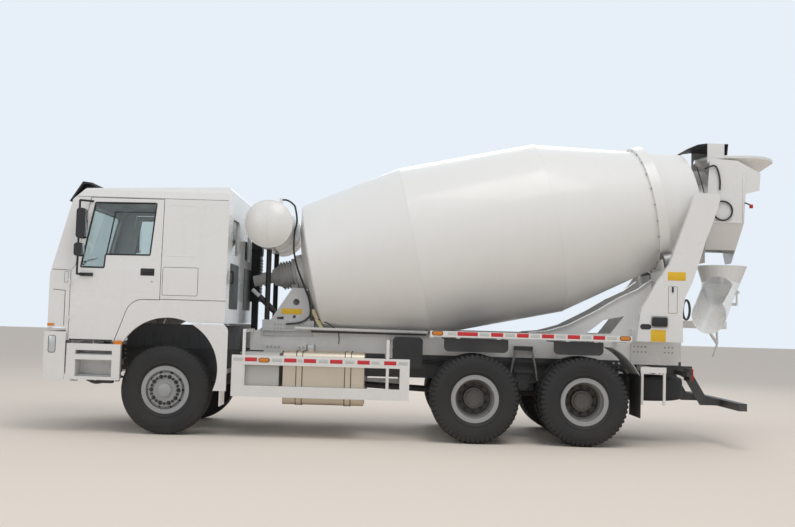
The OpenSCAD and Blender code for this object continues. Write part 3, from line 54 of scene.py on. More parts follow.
def make_weathering():
    """Shared look of a used finish. Dust is soft noise times a fade that ends at the dust's top
    height; streaks are noise drawn out in height; the gloss follows the same noise; the height
    output is the fine unevenness of a sprayed or moulded surface."""
    g = bpy.data.node_groups.new("weathering", "ShaderNodeTree")
    for name, kind, value in (("Color", "NodeSocketColor", (1, 1, 1, 1)),
        ("Dust Color", "NodeSocketColor", (0.4, 0.37, 0.33, 1)), ("Dust", "NodeSocketFloat", 0.2),
        ("Dust Top", "NodeSocketFloat", 1.2), ("Streaks", "NodeSocketFloat", 0.05),
        ("Rough Low", "NodeSocketFloat", 0.3), ("Rough High", "NodeSocketFloat", 0.5),
        ("Grain Scale", "NodeSocketFloat", 300.0)):
        new_socket(g, name, kind, "INPUT", value)
    for name, kind in (("Color", "NodeSocketColor"), ("Roughness", "NodeSocketFloat"),
        ("Height", "NodeSocketFloat")):
        new_socket(g, name, kind, "OUTPUT")
    n, link = g.nodes, g.links.new
    put, out = n.new("NodeGroupInput"), n.new("NodeGroupOutput")
    place = n.new("ShaderNodeTexCoord")

    def noise(scale, detail, stretch=None):
        tex = n.new("ShaderNodeTexNoise")
        tex.inputs["Scale"].default_value = scale
        tex.inputs["Detail"].default_value = detail
        if stretch:
            mapping = n.new("ShaderNodeMapping")
            mapping.inputs["Scale"].default_value = stretch
            link(place.outputs["Object"], mapping.inputs["Vector"])
            link(mapping.outputs[0], tex.inputs["Vector"])
        else:
            link(place.outputs["Object"], tex.inputs["Vector"])
        return tex.outputs["Fac"]

    def ramp(value, low, high, to_low, to_high):
        r = n.new("ShaderNodeMapRange")
        for name, v in (("Value", value), ("From Min", low), ("From Max", high), ("To Min", to_low),
            ("To Max", to_high)):
            if isinstance(v, (int, float)):
                r.inputs[name].default_value = v
            else:
                link(v, r.inputs[name])
        return r.outputs["Result"]

    def product(a, b):
        m = n.new("ShaderNodeMath")
        m.operation, m.use_clamp = "MULTIPLY", True
        link(a, m.inputs[0])
        link(b, m.inputs[1])
        return m.outputs[0]

    def mix(fac, a, b):
        m = n.new("ShaderNodeMix")
        m.data_type = "RGBA"
        link(fac, m.inputs[0])
        link(a, m.inputs[6])
        link(b, m.inputs[7])
        return m.outputs[2]

    cloud = noise(2.3, 8)
    height = n.new("ShaderNodeSeparateXYZ")
    link(place.outputs["Object"], height.inputs[0])
    fade = ramp(height.outputs["Z"], 0.05, put.outputs["Dust Top"], 1.0, 0.0)
    dust = product(product(fade, ramp(cloud, 0.3, 0.75, 0.0, 1.0)), put.outputs["Dust"])
    streak = product(ramp(noise(1.0, 5, (9.0, 9.0, 0.7)), 0.5, 0.8, 0.0, 1.0), put.outputs["Streaks"])
    dusty = mix(dust, put.outputs["Color"], put.outputs["Dust Color"])
    link(mix(streak, dusty, put.outputs["Dust Color"]), out.inputs["Color"])
    link(ramp(cloud, 0.3, 0.7, put.outputs["Rough Low"], put.outputs["Rough High"]), out.inputs["Roughness"])
    grain = n.new("ShaderNodeTexNoise")
    grain.inputs["Detail"].default_value = 2
    link(place.outputs["Object"], grain.inputs["Vector"])
    link(put.outputs["Grain Scale"], grain.inputs["Scale"])
    link(grain.outputs["Fac"], out.inputs["Height"])
    return g


weathering = make_weathering()


def finish(name, color, dust=0.2, dust_top=1.2, streaks=0.0, rough=(0.3, 0.5), metallic=0.0, coat=0.0,
           grain=300.0, relief=0.05, dust_color=(0.40, 0.37, 0.33)):
    """A finish whose colour, gloss and fine relief come from the weathering group."""
    m = bpy.data.materials.new(name)
    m.use_nodes = True
    n, link = m.node_tree.nodes, m.node_tree.links.new
    p = n["Principled BSDF"]
    w = n.new("ShaderNodeGroup")
    w.node_tree = weathering
    for key, value in (("Color", (*color, 1)), ("Dust Color", (*dust_color, 1)), ("Dust", dust),
        ("Dust Top", dust_top), ("Streaks", streaks), ("Rough Low", rough[0]), ("Rough High", rough[1]),
        ("Grain Scale", grain)):
        w.inputs[key].default_value = value
    link(w.outputs["Color"], p.inputs["Base Color"])
    link(w.outputs["Roughness"], p.inputs["Roughness"])
    p.inputs["Metallic"].default_value = metallic
    p.inputs["Coat Weight"].default_value = coat
    p.inputs["Coat Roughness"].default_value = 0.08
    bump = n.new("ShaderNodeBump")
    bump.inputs["Strength"].default_value = relief
    bump.inputs["Distance"].default_value = 0.002
    link(w.outputs["Height"], bump.inputs["Height"])
    link(bump.outputs["Normal"], p.inputs["Normal"])
    return m


def dress(material, *names):
    """Gives CAD nodes their finish."""
    for name in names:
        nodes[name].data.materials.clear()
        nodes[name].data.materials.append(material)


def skin(name, body, material, slot, *grids, sharp=35):
    """One piece from surfaces given as grids of points, each an array (..., rows, columns, 3) in
    metres from the front axle, with the letters r and c where its rows or columns close on
    themselves. Every cell is one face, and each closed surface is turned so that the sum over its
    faces of normal times distance from its middle is positive. Points that meet are merged."""
    points, faces, start = [], [], 0
    for grid, closed in grids:
        n, m = grid.shape[-3:-1]
        flat = np.asarray(grid, float).reshape(-1, n * m, 3)
        a, b = np.meshgrid(np.arange(n if "r" in closed else n - 1), np.arange(m if "c" in closed else m - 1),
            indexing="ij")
        c, d = (a + 1) % n, (b + 1) % m
        quad = np.stack([a * m + b, c * m + b, c * m + d, a * m + d], -1).reshape(-1, 4)
        corner = flat[:, quad]
        normal = np.cross(corner[:, :, 2] - corner[:, :, 0], corner[:, :, 3] - corner[:, :, 1])
        side = np.einsum("kfx,kfx->k", normal, corner.mean(2) - flat.mean(1)[:, None])
        quads = np.where(side[:, None, None] < 0, quad[None, :, ::-1], quad[None])
        faces.append((quads + start + np.arange(len(flat))[:, None, None] * n * m).reshape(-1, 4))
        points.append(flat.reshape(-1, 3))
        start += flat.shape[0] * n * m
    mesh = bpy.data.meshes.new(name)
    mesh.from_pydata((np.concatenate(points) + (AXLE_X, 0, 0)).tolist(), [], np.concatenate(faces).tolist())
    work = bmesh.new()
    work.from_mesh(mesh)
    bmesh.ops.remove_doubles(work, verts=work.verts, dist=2e-6)
    work.to_mesh(mesh)
    work.free()
    mesh.materials.append(material)
    mesh.shade_smooth()
    mesh.set_sharp_from_angle(angle=math.radians(sharp))
    piece = bpy.data.objects.new(name, mesh)
    bpy.context.scene.collection.objects.link(piece)
    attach(piece, body)
    return piece


def both(grid):
    """The grid and its mirror image in the truck's middle plane."""
    return np.stack([grid, grid * (1, -1, 1)])


def mirrored(grids):
    """Each grid of the list with its mirror image."""
    return [(both(grid), closed) for grid, closed in grids]


def lattice(xs, ys, zs):
    """Every point whose x, y and z are among the values given."""
    return np.stack(np.meshgrid(xs, ys, zs, indexing="ij"), -1).reshape(-1, 3)


def lay(grid, centre, direction):
    """Turns a grid drawn about its z axis to a direction and puts copies of it at the centres."""
    w = np.array(direction, float) / np.linalg.norm(direction)
    u = np.cross((0, 0, 1) if abs(w[2]) < 0.9 else (1, 0, 0), w)
    u /= np.linalg.norm(u)
    turn = np.array([u, np.cross(w, u), w])
    return grid @ turn + np.atleast_2d(np.array(centre, float))[:, None, None]


def bolts(centre, direction, radius=0.011, tall=0.012):
    """Hexagon heads on washers: a hexagon and a circle of six corners at six levels."""
    turn = np.arange(6) * np.pi / 3
    level = np.array([(0, tall), (0.82 * radius, tall), (radius, 0.8 * tall), (radius, 0.003),
        (1.45 * radius, 0.003), (1.45 * radius, -0.001)])
    grid = np.stack([level[:, :1] * np.cos(turn), level[:, :1] * np.sin(turn), level[:, 1:] + 0 * turn], -1)
    return lay(grid, centre, direction), "c"


def side_bolts(centres, *size):
    """Bolt heads on the left faces at the centres, and their like on the right."""
    return [bolts(centres, (0, -1, 0), *size), bolts(centres * (1, -1, 1), (0, 1, 0), *size)]


def curve_through(points, count):
    """Smooth line through points: on each span the cubic that leaves and meets every point along
    the chord of its two neighbours."""
    p = np.array(points, float)
    q = np.concatenate([2 * p[:1] - p[1:2], p, 2 * p[-1:] - p[-2:-1]])
    t = np.linspace(0, len(p) - 1, count)
    i = np.minimum(t.astype(int), len(p) - 2)
    f = (t - i)[:, None]
    a, b, c, d = q[i], q[i + 1], q[i + 2], q[i + 3]
    square, cube = (2 * a - 5 * b + 4 * c - d) * f ** 2, (3 * b - a - 3 * c + d) * f ** 3
    return 0.5 * (2 * b + (c - a) * f + square + cube)


def tube(path, radius, sides=10, across=(0, 1, 0)):
    """A round bar or hose: a circle carried square to the path, drawn to a point at both ends."""
    path = np.array(path, float)
    along = np.gradient(path, axis=0)
    along /= np.linalg.norm(along, axis=1, keepdims=True)
    u = np.cross(along, across)
    u /= np.linalg.norm(u, axis=1, keepdims=True)
    v = np.cross(along, u)
    a = np.arange(sides) * 2 * np.pi / sides
    r = np.broadcast_to(radius, (len(path),))[:, None, None]
    ring = path[:, None] + r * (np.cos(a)[:, None] * u[:, None] + np.sin(a)[:, None] * v[:, None])
    tip = [path[k] + np.zeros((1, sides, 3)) for k in (0, -1)]
    return np.concatenate([tip[0], ring, tip[1]]), "c"


chassis_black = finish("chassis_black", (0.030, 0.031, 0.033), dust=0.3, dust_top=1.5, streaks=0.06,
    rough=(0.4, 0.62), grain=220, relief=0.12)
bolt_zinc = finish("bolt_zinc", (0.45, 0.45, 0.44), dust=0.4, rough=(0.35, 0.5), metallic=0.85)
line_black = finish("line_black", (0.016, 0.016, 0.018), dust=0.4, dust_top=1.4, rough=(0.45, 0.6), grain=500)
dress(chassis_black, "frame", "cross_members", "bogie_springs", "underrun_guard", "drive_axles", "front_axle",
      "knuckle_left", "knuckle_right")
cross_x = np.array([-0.76, 0.82, 1.95, 3.0, 5.695, 6.30])
group = lattice(cross_x, (0.0, 0.07), (0.90, 0.96, 1.01))
rail_bolts = np.stack([group[:, 0] + group[:, 1], np.full(len(group), -0.430), group[:, 2]], -1)
skin("rail_bolts", "chassis", bolt_zinc, "grey_paint", *side_bolts(rail_bolts))
run = np.linspace(0, 1, 60)[:, None]
air_line = np.array([0.9, -0.446, 0.985]) + run * (5.3, 0, 0) + np.sin(run * 40) * (0, 0, 0.002)
skin("air_lines", "chassis", line_black, "black_rubber",
     *[tube((air_line + (0, 0, dz)) * (1, s, 1), 0.008, 8) for dz in (0, -0.02, -0.04) for s in (1, -1)])

# AXLES AND SPRINGS: forged and cast parts in chassis black, with bright U-bolts round the leaf
# packs and bolt circles on the final drives.
wheel_z = 0.551
rear_axles = (3.825, 5.175)
u_rod = [tube([[4.5 + s * 0.105, y, 1.145], [4.5 + s * 0.15, y, 0.95], [4.5 + s * 0.178, y, 0.76]], 0.013, 8,
              (0, 1, 0)) for s in (-1, 1) for y in (-0.575, -0.535)]
rod_steel = finish("rod_steel", (0.42, 0.42, 0.41), dust=0.3, rough=(0.3, 0.5), metallic=0.7)
skin("bogie_u_bolts", "chassis", rod_steel, "grey_paint", *mirrored(u_rod))
angle = np.arange(12) * np.pi / 6
for_axle = [np.stack([x + 0.19 * np.cos(angle), np.full(12, -0.085), wheel_z + 0.19 * np.sin(angle)],
    -1) for x in rear_axles]
skin("final_drive_bolts", "chassis", bolt_zinc, "grey_paint", *side_bolts(np.concatenate(for_axle), 0.012))


# ENGINE AND GEARBOX: one plain block in the solids. Its sides show as cast iron in engine grey
# with ribs, through the wheel arches and over the rails.
engine_grey = finish("engine_grey", (0.10, 0.11, 0.12), dust=0.5, dust_top=1.8, rough=(0.5, 0.7), grain=120,
    relief=0.4)
dress(engine_grey, "power_unit")


def rounded(a, b, radius, inset=0.0, steps=3):
    """Outline of a rectangle with half sides a and b, drawn in by inset: at each corner its centre
    plus the radius turned through a right angle."""
    r = max(radius - inset, 2e-5)
    t = np.linspace(0, np.pi / 2, steps)
    turn = (np.arange(4)[:, None] * np.pi / 2 + t).ravel()
    sx = np.repeat([1, -1, -1, 1], steps)
    sy = np.repeat([1, 1, -1, -1], steps)
    return np.stack([sx * (a - radius) + r * np.cos(turn), sy * (b - radius) + r * np.sin(turn)], -1)


def block(centre, half, radius=0.004, corner=None, steps=3, out="z"):
    """Boxes with round edges, one at each centre, their half sizes along x, y and z: a rounded
    rectangle at eight levels along the axis named by out, drawn in by the edge radius towards both
    ends and to a point in the middle of each end face."""
    order = {"z": (0, 1, 2), "y": (0, 2, 1), "x": (2, 0, 1)}[out]
    a, b, c = {"z": half, "y": (half[0], half[2], half[1]), "x": (half[1], half[2], half[0])}[out]
    corner = corner or radius
    ring = np.stack([rounded(a, b, corner, i, steps) for i in (radius, 0.3 * radius, 0.0)])
    flat = np.concatenate([ring[:1] * 0, ring])
    z = np.array([-c, -c, 0.3 * radius - c, radius - c])[:, None, None] + np.zeros((1, 4 * steps, 1))
    lower = np.concatenate([flat, z], -1)
    grid = np.concatenate([lower, lower[::-1] * (1, 1, -1)])[..., list(order)]
    return grid + np.atleast_2d(np.array(centre, float))[:, None, None], "c"


ribs = lattice(np.arange(-0.6, 0.75, 0.12), (-0.338, 0.338), (0.95,))
skin("engine_ribs", "chassis", engine_grey, "dark_paint", block(ribs, (0.012, 0.012, 0.28), 0.005))

# BUMPER: pressed steel skin in white enamel, with a black insert and fog lamps. Each lamp cluster
# is a clear lens over bright bowls in a black housing.
white_enamel = finish("white_enamel", (0.80, 0.80, 0.79), dust=0.30, dust_top=1.7, streaks=0.05,
    rough=(0.22, 0.36), coat=0.4, grain=60, relief=0.02)
black_plastic = finish("black_plastic", (0.016, 0.016, 0.018), dust=0.3, dust_top=1.6, rough=(0.42, 0.6),
    grain=700, relief=0.25)
dress(white_enamel, "front_bumper", "cab_steps", "mudguards_front", "side_guards")


def clear(name, color, rough, transmission, metallic=0.0):
    """Glass or clear plastic."""
    m = bpy.data.materials.new(name)
    m.use_nodes = True
    p = m.node_tree.nodes["Principled BSDF"]
    p.inputs["Base Color"].default_value = (*color, 1)
    p.inputs["Roughness"].default_value = rough
    p.inputs["Transmission Weight"].default_value = transmission
    p.inputs["Metallic"].default_value = metallic
    return m


lamp_clear = clear("lamp_clear", (0.92, 0.94, 0.96), 0.03, 0.95)
lamp_red = clear("lamp_red", (0.55, 0.012, 0.01), 0.12, 0.25)
lamp_amber = clear("lamp_amber", (0.85, 0.27, 0.02), 0.12, 0.2)
bright_bowl = clear("bright_bowl", (0.86, 0.87, 0.88), 0.12, 0.0, 1.0)
dress(lamp_clear, "head_lamps")


nose_radius = 9


def nose_x(y, half=1.248, front=-1.575, bend=0.15):
    """Plan of the bumper's and the cab's nose: a nine metre arc across, a quarter circle of the
    bend radius at each end."""
    arc = front + nose_radius - np.sqrt(nose_radius ** 2 - y ** 2)
    into = np.clip(np.abs(y) - (half - bend), 0, bend)
    return np.maximum(arc, front + bend - np.sqrt(np.maximum(bend ** 2 - into ** 2, 0)))


def panel_on(surface, y0, y1, z0, z1, thick, corner):
    """A closed plate on a nose surface x = surface(y, z): a rounded rectangle of points spread from
    its middle, its outer layer thick in front of the surface, its inner one just behind it."""
    ring = rounded(0.5 * (y1 - y0), 0.5 * (z1 - z0), corner, 0, 6)
    fine = np.concatenate([ring, ring[:1]])
    t = np.linspace(0, len(ring), 4 * len(ring), endpoint=False)
    ring = np.stack([np.interp(t, np.arange(len(fine)), fine[:, k]) for k in (0, 1)], -1)
    grow = np.concatenate([np.linspace(0, 0.985, 6), [1.0, 1.0, 0.985, 0]])
    out = np.concatenate([np.full(6, thick), [0.5 * thick, -0.002, -0.003, -0.003]])
    p = grow[:, None, None] * ring
    y, z = p[..., 0] + 0.5 * (y0 + y1), p[..., 1] + 0.5 * (z0 + z1)
    return np.stack([surface(y, z) - out[:, None], y, z], -1), "c"


def bumper_face(y, z):
    """The bumper's front: the same plan at every height."""
    return nose_x(y)


def turned(profile, steps=28):
    """A profile of (radius, height) turned about the z axis."""
    p = np.array(profile, float)
    turn = np.arange(steps) * 2 * np.pi / steps
    return np.stack([p[:, :1] * np.cos(turn), p[:, :1] * np.sin(turn), p[:, 1:] + 0 * turn], -1)


skin("bumper_insert", "chassis", black_plastic, "black_plastic",
     panel_on(bumper_face, -0.62, 0.62, 0.74, 0.93, 0.006, 0.03),
     panel_on(bumper_face, -0.85, 0.85, 1.16, 1.215, 0.004, 0.015))
t = np.linspace(0, 1, 9)
bowl_r, bowl_h = np.concatenate([0.072 * t, [0.078, 0]]), np.concatenate([-0.055 * (1 - t ** 2),
    [-0.002, -0.06]])
bowl = turned(np.stack([bowl_r, bowl_h], -1))
sides = (("left", -1), ("right", 1))
for side, s in sides:
    skin(f"lamp_bowls_{side}", "chassis", bright_bowl, "grey_paint",
         (lay(bowl, [(-1.492, s * 1.00, 1.10), (-1.470, s * 1.14, 1.10)], (-1, 0, 0)), "c"))
    skin(f"lamp_housing_{side}", "chassis", black_plastic, "black_plastic",
         block((-1.385, s * 1.08, 1.10), (0.045, 0.14, 0.086), 0.01))
    skin(f"fog_lamp_{side}", "chassis", lamp_clear, "clear_lens",
         panel_on(bumper_face, *sorted((s * 0.72, s * 0.90)), 0.78, 0.88, 0.008, 0.04))
band = np.stack([rounded(0.040 + d, 0.100 + d, 0.02 + d, 0, 5) for d in (0, 0.007, 0.007, 0)])
deep = np.array([0.001, 0.001, -0.006, -0.006])[:, None]
edge = np.stack([-1.385 + band[..., 0], -1.248 - deep + 0 * band[..., 0], 1.08 + band[..., 1]], -1)
skin("lamp_surrounds", "chassis", black_plastic, "black_plastic", (both(edge), "rc"))
side_lens = block((-1.385, -1.2475, 1.08), (0.041, 0.0015, 0.101), 0.001, 0.02, 5, "y")
lamp_side = clear("lamp_side", (0.62, 0.64, 0.66), 0.1, 0.1, 0.3)
skin("lamp_side_lenses", "chassis", lamp_side, "clear_lens", *mirrored([side_lens]))

# CAB STEPS: folded sheet steel in white, with grey anti-slip treads.
tread_grey = finish("tread_grey", (0.40, 0.42, 0.43), dust=0.6, rough=(0.5, 0.7), grain=90, relief=0.5)
treads = [block((-0.870, -1.135, z), (0.222, 0.09, 0.006), 0.003) for z in (0.706, 0.968)]
skin("step_treads", "chassis", tread_grey, "grey_paint", *mirrored(treads))
marker = block((-0.580, -1.246, 1.112), (0.054, 0.0018, 0.030), 0.0015, 0.018, 5, "y")
skin("step_marker_lamps", "chassis", lamp_amber, "red_lens", *mirrored([marker]))
under = [tube(curve_through([(-1.02, -0.95, 0.645), (-0.9, -0.98, 0.61), (-0.75, -0.95, 0.64)], 16), 0.022,
              10), block((-0.80, -0.93, 0.630), (0.10, 0.06, 0.030), 0.012)]
skin("step_brackets", "chassis", chassis_black, "dark_paint", *mirrored(under))

# FUEL TANK: rolled aluminium with steel straps over rubber strips, filler neck and cap; the
# battery box beside it has a lid with two latches.
tank_aluminium = finish("tank_aluminium", (0.62, 0.54, 0.43), dust=0.35, dust_top=1.0, streaks=0.15,
    rough=(0.32, 0.45), metallic=0.75, grain=40, relief=0.03)
box_grey = finish("box_grey", (0.50, 0.50, 0.48), dust=0.4, streaks=0.1, rough=(0.4, 0.55))
dress(tank_aluminium, "fuel_tank")
dress(box_grey, "side_boxes")


def loop_x(x0, x1, y0, z0, y1, z1, radius, thick):
    """A band from x0 to x1 round a rounded rectangle in the plane across the truck."""
    out = [rounded(0.5 * (y1 - y0) + d, 0.5 * (z1 - z0) + d, radius + d, 0, 8) for d in (0, thick, thick, 0)]
    x = np.array([x0, x0, x1, x1])[:, None]
    o = np.stack(out)
    return np.stack([x + 0 * o[..., 0], 0.5 * (y0 + y1) + o[..., 0], 0.5 * (z0 + z1) + o[..., 1]], -1), "rc"


skin("strap_rubbers", "chassis", line_black, "black_rubber",
     *[loop_x(x, x + 0.008, -1.19, 0.416, -0.56, 1.07, 0.09, 0.009) for x in (1.608, 1.684, 2.208, 2.284)])
skin("tank_seams", "chassis", tank_aluminium, "tank_metal",
     *[loop_x(x, x + 0.006, -1.19, 0.416, -0.56, 1.07, 0.09, 0.003) for x in (1.47, 2.43)])
cap = turned([(0, 0.050), (0.030, 0.050), (0.056, 0.044), (0.06, 0.036), (0.06, 0.006), (0.066, 0.0),
              (0.066, -0.01)], 30)
skin("filler_cap", "chassis", bolt_zinc, "grey_paint", (lay(cap, (1.77, -0.975, 1.11), (0, 0, 1)), "c"),
     block((1.77, -0.975, 1.163), (0.05, 0.008, 0.008), 0.003))
skin("battery_latches", "chassis", bolt_zinc, "grey_paint",
     block([(1.06, -1.193, 0.93), (1.30, -1.193, 0.93)], (0.012, 0.008, 0.035), 0.004))
skin("box_lid", "chassis", box_grey, "grey_paint",
     loop_x(0.958, 1.402, -1.19, 0.90, -0.70, 1.04, 0.06, 0.004))
skin("box_feet", "chassis", chassis_black, "dark_paint",
     block([(1.18, -0.95, 0.54), (1.18, -0.80, 0.54)], (0.21, 0.03, 0.012), 0.004))

# SIDE GUARDS AND RAILS: welded sheet steel in white, with red and silver reflecting tape and
# amber marker lamps between the strips.
tape_red = finish("tape_red", (0.60, 0.022, 0.030), dust=0.15, rough=(0.25, 0.35), grain=900, relief=0.35)
tape_silver = finish("tape_silver", (0.55, 0.58, 0.57), dust=0.15, rough=(0.25, 0.35), grain=900, relief=0.35)


def tape(spans, z, half_tall):
    """Strips of tape: thin blocks between each pair of x values, at height z, on the side's face."""
    grids = [block((0.5 * (x0 + x1), -1.2485, z), (0.5 * (x1 - x0), 0.0015, half_tall), 0.0006) for x0,
             x1 in spans]
    return mirrored(grids)


guard_red = [(0.987, 1.135), (1.467, 1.620), (1.708, 1.860), (2.031, 2.184), (2.366, 2.518), (2.695, 2.845)]
guard_silver = [(0.845, 0.965), (1.322, 1.442), (1.634, 1.690), (1.895, 2.004), (2.217, 2.327),
                (2.541, 2.634), (2.872, 2.985)]
skin("guard_tape_red", "chassis", tape_red, "red_lens", *tape(guard_red, 0.960, 0.024))
skin("guard_tape_silver", "chassis", tape_silver, "grey_paint", *tape(guard_silver, 0.960, 0.020))
rail_red = [(3.586, 3.837), (4.000, 4.149), (4.319, 4.464), (4.627, 4.776), (4.943, 5.096), (5.260, 5.406)]
rail_silver = [(3.47, 3.575), (3.86, 3.975), (4.175, 4.295), (4.49, 4.60), (4.80, 4.92), (5.12, 5.235),
               (5.43, 5.55)]
skin("rail_tape_red", "chassis", tape_red, "red_lens", *tape(rail_red, 1.346, 0.024))
skin("rail_tape_silver", "chassis", tape_silver, "grey_paint", *tape(rail_silver, 1.346, 0.020))
lamp_spots = [(1.222, -1.248, 0.955), (3.342, -1.248, 1.346), (5.655, -1.248, 1.346)]
lamps = block(lamp_spots, (0.062, 0.006, 0.024), 0.005, 0.0235, 6, "y")
skin("marker_lamps", "chassis", lamp_amber, "red_lens", *mirrored([lamps]))
bases = block(lamp_spots, (0.07, 0.003, 0.029), 0.002, 0.028, 6, "y")
skin("marker_bases", "chassis", black_plastic, "black_plastic", *mirrored([bases]))


# WHEELS: steel disc wheels in grey with ten nuts. The tyres are moulded rubber: a rib pattern
# at the front, blocks on the driven axles and the spare.
def tyre_surface(kind, pitches=54):
    """A tyre about the y axis. Its section is a line through measured points of radius and width;
    each point is pushed in by the tread: cross grooves where the angle falls in a groove and the
    width is beyond the shoulder's inner edge, and rings of grooves round the middle."""
    half = np.array([(0.257, 0.106), (0.296, 0.106), (0.298, 0.126), (0.318, 0.139), (0.333, 0.1475),
        (0.338, 0.1445), (0.362, 0.1515), (0.392, 0.1555), (0.432, 0.1550), (0.462, 0.1535), (0.468, 0.1505),
        (0.487, 0.1480), (0.505, 0.1445), (0.520, 0.1395), (0.532, 0.1330), (0.541, 0.1240), (0.5455, 0.1140),
        (0.5472, 0.1040), (0.5482, 0.0930), (0.5490, 0.0820), (0.5496, 0.0710), (0.5500, 0.0600),
        (0.5503, 0.0540), (0.5505, 0.0480), (0.5506, 0.0400), (0.5507, 0.0320), (0.5508, 0.0240),
        (0.5508, 0.0180), (0.5508, 0.0120), (0.5508, 0.0060)])
    section = np.concatenate([half, [(0.5508, 0.0)], half[::-1] * (1, -1)])
    r0, h = section[:, 0], section[:, 1]
    turn = np.arange(pitches * 8) * 2 * np.pi / (pitches * 8)
    phase = (np.arange(pitches * 8)[:, None] / 8 + 0.5 * (h > 0)) % 1
    if kind == "rib":
        across = (phase > 0.8) * np.clip((np.abs(h) - 0.106) / 0.01, 0, 1) * (r0 > 0.50) * 0.006
        rings = 0.011 * ((np.abs(np.abs(h) - 0.054) < 0.007) | (np.abs(h) < 0.007)) + 0 * phase
    else:
        inner, outer = np.clip((np.abs(h) - 0.045) / 0.012, 0, 1), np.clip((r0 - 0.485) / 0.03, 0, 1)
        across = (phase > 0.62) * inner * outer * 0.013
        swing = 0.010 * np.sign(np.sin(turn * pitches))[:, None]
        rings = 0.012 * (np.abs(h - swing) < 0.008)
    deep = np.where(r0 > 0.48, np.maximum(across, rings * (r0 > 0.545)), 0)
    r = r0 - deep
    side = h - np.sign(h) * across * (r0 < 0.546) * 0.6
    return np.stack([r * np.cos(turn)[:, None], side + 0 * phase, r * np.sin(turn)[:, None]], -1)


def tint(node, material, choose):
    """Gives another finish to the faces of a CAD piece whose middles choose(x, y, z) picks."""
    mesh = nodes[node].data
    place = np.empty(3 * len(mesh.vertices))
    mesh.vertices.foreach_get("co", place)
    corner = np.empty(len(mesh.loops), int)
    mesh.loops.foreach_get("vertex_index", corner)
    middle = place.reshape(-1, 3)[corner].reshape(-1, 3, 3).mean(1) - (AXLE_X, 0, 0)
    index = np.empty(len(mesh.polygons), int)
    mesh.polygons.foreach_get("material_index", index)
    mesh.materials.append(material)
    index[choose(*middle.T)] = len(mesh.materials) - 1
    mesh.polygons.foreach_set("material_index", index)
    mesh.update()


tyre_rubber = finish("tyre_rubber", (0.012, 0.012, 0.013), dust=0.22, dust_top=1.6, rough=(0.62, 0.85),
    grain=260, relief=0.3, dust_color=(0.16, 0.145, 0.13))
wheel_grey = finish("wheel_grey", (0.34, 0.35, 0.36), dust=0.4, dust_top=1.2, rough=(0.32, 0.48), coat=0.15)
hub_brown = finish("hub_brown_grey", (0.115, 0.105, 0.095), dust=0.5, dust_top=1.4, rough=(0.5, 0.7),
                   grain=90, relief=0.4)
nut_circle, nut_reach = 0.1675, 0.026


def on_nuts(x0, low, high):
    """Picks the faces near the nut circle round x0, between two half widths."""
    return lambda x, y, z: ((np.abs(np.hypot(x - x0, z - wheel_z) - nut_circle) < nut_reach)
                            & (np.abs(y) > low) & (np.abs(y) < high))


nut_black = finish("nut_black", (0.018, 0.018, 0.02), dust=0.2, rough=(0.35, 0.5), metallic=0.4)
for side, s in sides:
    dress(wheel_grey, f"front_rim_{side}", f"mid_rims_{side}", f"rear_rims_{side}")
    tyre = skin(f"front_tread_{side}", f"front_wheel_{side}", tyre_rubber, "tyre_rubber",
                (tyre_surface("rib", 60) + (0, s * 1.011, wheel_z), "rc"), sharp=50)
    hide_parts(f"front_tyre_{side}")
    tint(f"front_rim_{side}", nut_black, on_nuts(0, 1.1475, 1.18))
    a = np.arange(10) * np.pi / 5
    nut_ring = np.stack([nut_circle * np.cos(a), np.full(10, s * 1.150), wheel_z + nut_circle * np.sin(a)],
        -1)
    skin(f"front_nuts_{side}", f"front_wheel_{side}", nut_black, "black_plastic",
         bolts(nut_ring, (0, s, 0), 0.019, 0.028))
    for axle, x0 in zip(("mid", "rear"), rear_axles):
        pair = np.stack([tyre_surface("block") + (x0, s * (0.915 + d), wheel_z) for d in (-0.1725, 0.1725)])
        tyre = skin(f"{axle}_tread_{side}", f"{axle}_wheels_{side}", tyre_rubber, "tyre_rubber", (pair, "rc"),
                    sharp=50)
        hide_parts(f"{axle}_tyres_{side}")
        tint(f"{axle}_rims_{side}", hub_brown, lambda x, y, z: np.hypot(x - x0, z - wheel_z) < 0.238)
        tint(f"{axle}_rims_{side}", nut_black, on_nuts(x0, 0.9295, 0.975))
        cover = np.stack([x0 + 0.085 * np.cos(a), np.full(10, s * (0.915 + 0.126)),
            wheel_z + 0.085 * np.sin(a)], -1)
        skin(f"{axle}_hub_bolts_{side}", f"{axle}_wheels_{side}", hub_brown, "grey_paint",
             bolts(cover, (0, s, 0), 0.009, 0.008))
    ring = turned([(0, 0.004), (0.070, 0.004), (0.076, 0.0), (0.076, -0.004)], 40)
    skin(f"front_caps_{side}", f"front_wheel_{side}", wheel_grey, "grey_paint",
         (lay(ring, (0, s * 1.1785, wheel_z), (0, s, 0)), "c"),
         tube([(0.19, s * 1.12, wheel_z), (0.20, s * 1.15, wheel_z), (0.20, s * 1.165, wheel_z)], 0.006, 8,
              (0, 0, 1)))

# CAB: pressed steel shell in white enamel. Rubber seals round the glass, pressed seams on the
# corners, door handles, locks, a pressed panel and a hatch behind the door.
dress(white_enamel, "cab_shell", "front_panel", "door_left", "door_right")


cab_half, cab_bend = 1.215, 0.13


def cab_side_y(x, z):
    """Half width of the cab's outer side: the narrower of its plan, with a quarter circle at the
    front corner, and its front view, which leans in above the belt."""
    into = np.clip(-1.415 - x, 0, cab_bend)
    plan = cab_half - cab_bend + np.sqrt(cab_bend ** 2 - into ** 2)
    return np.minimum(plan, np.interp(z, [2.0, 2.9, 3.01, 3.1], [cab_half, 1.163, 1.125, 1.025]))


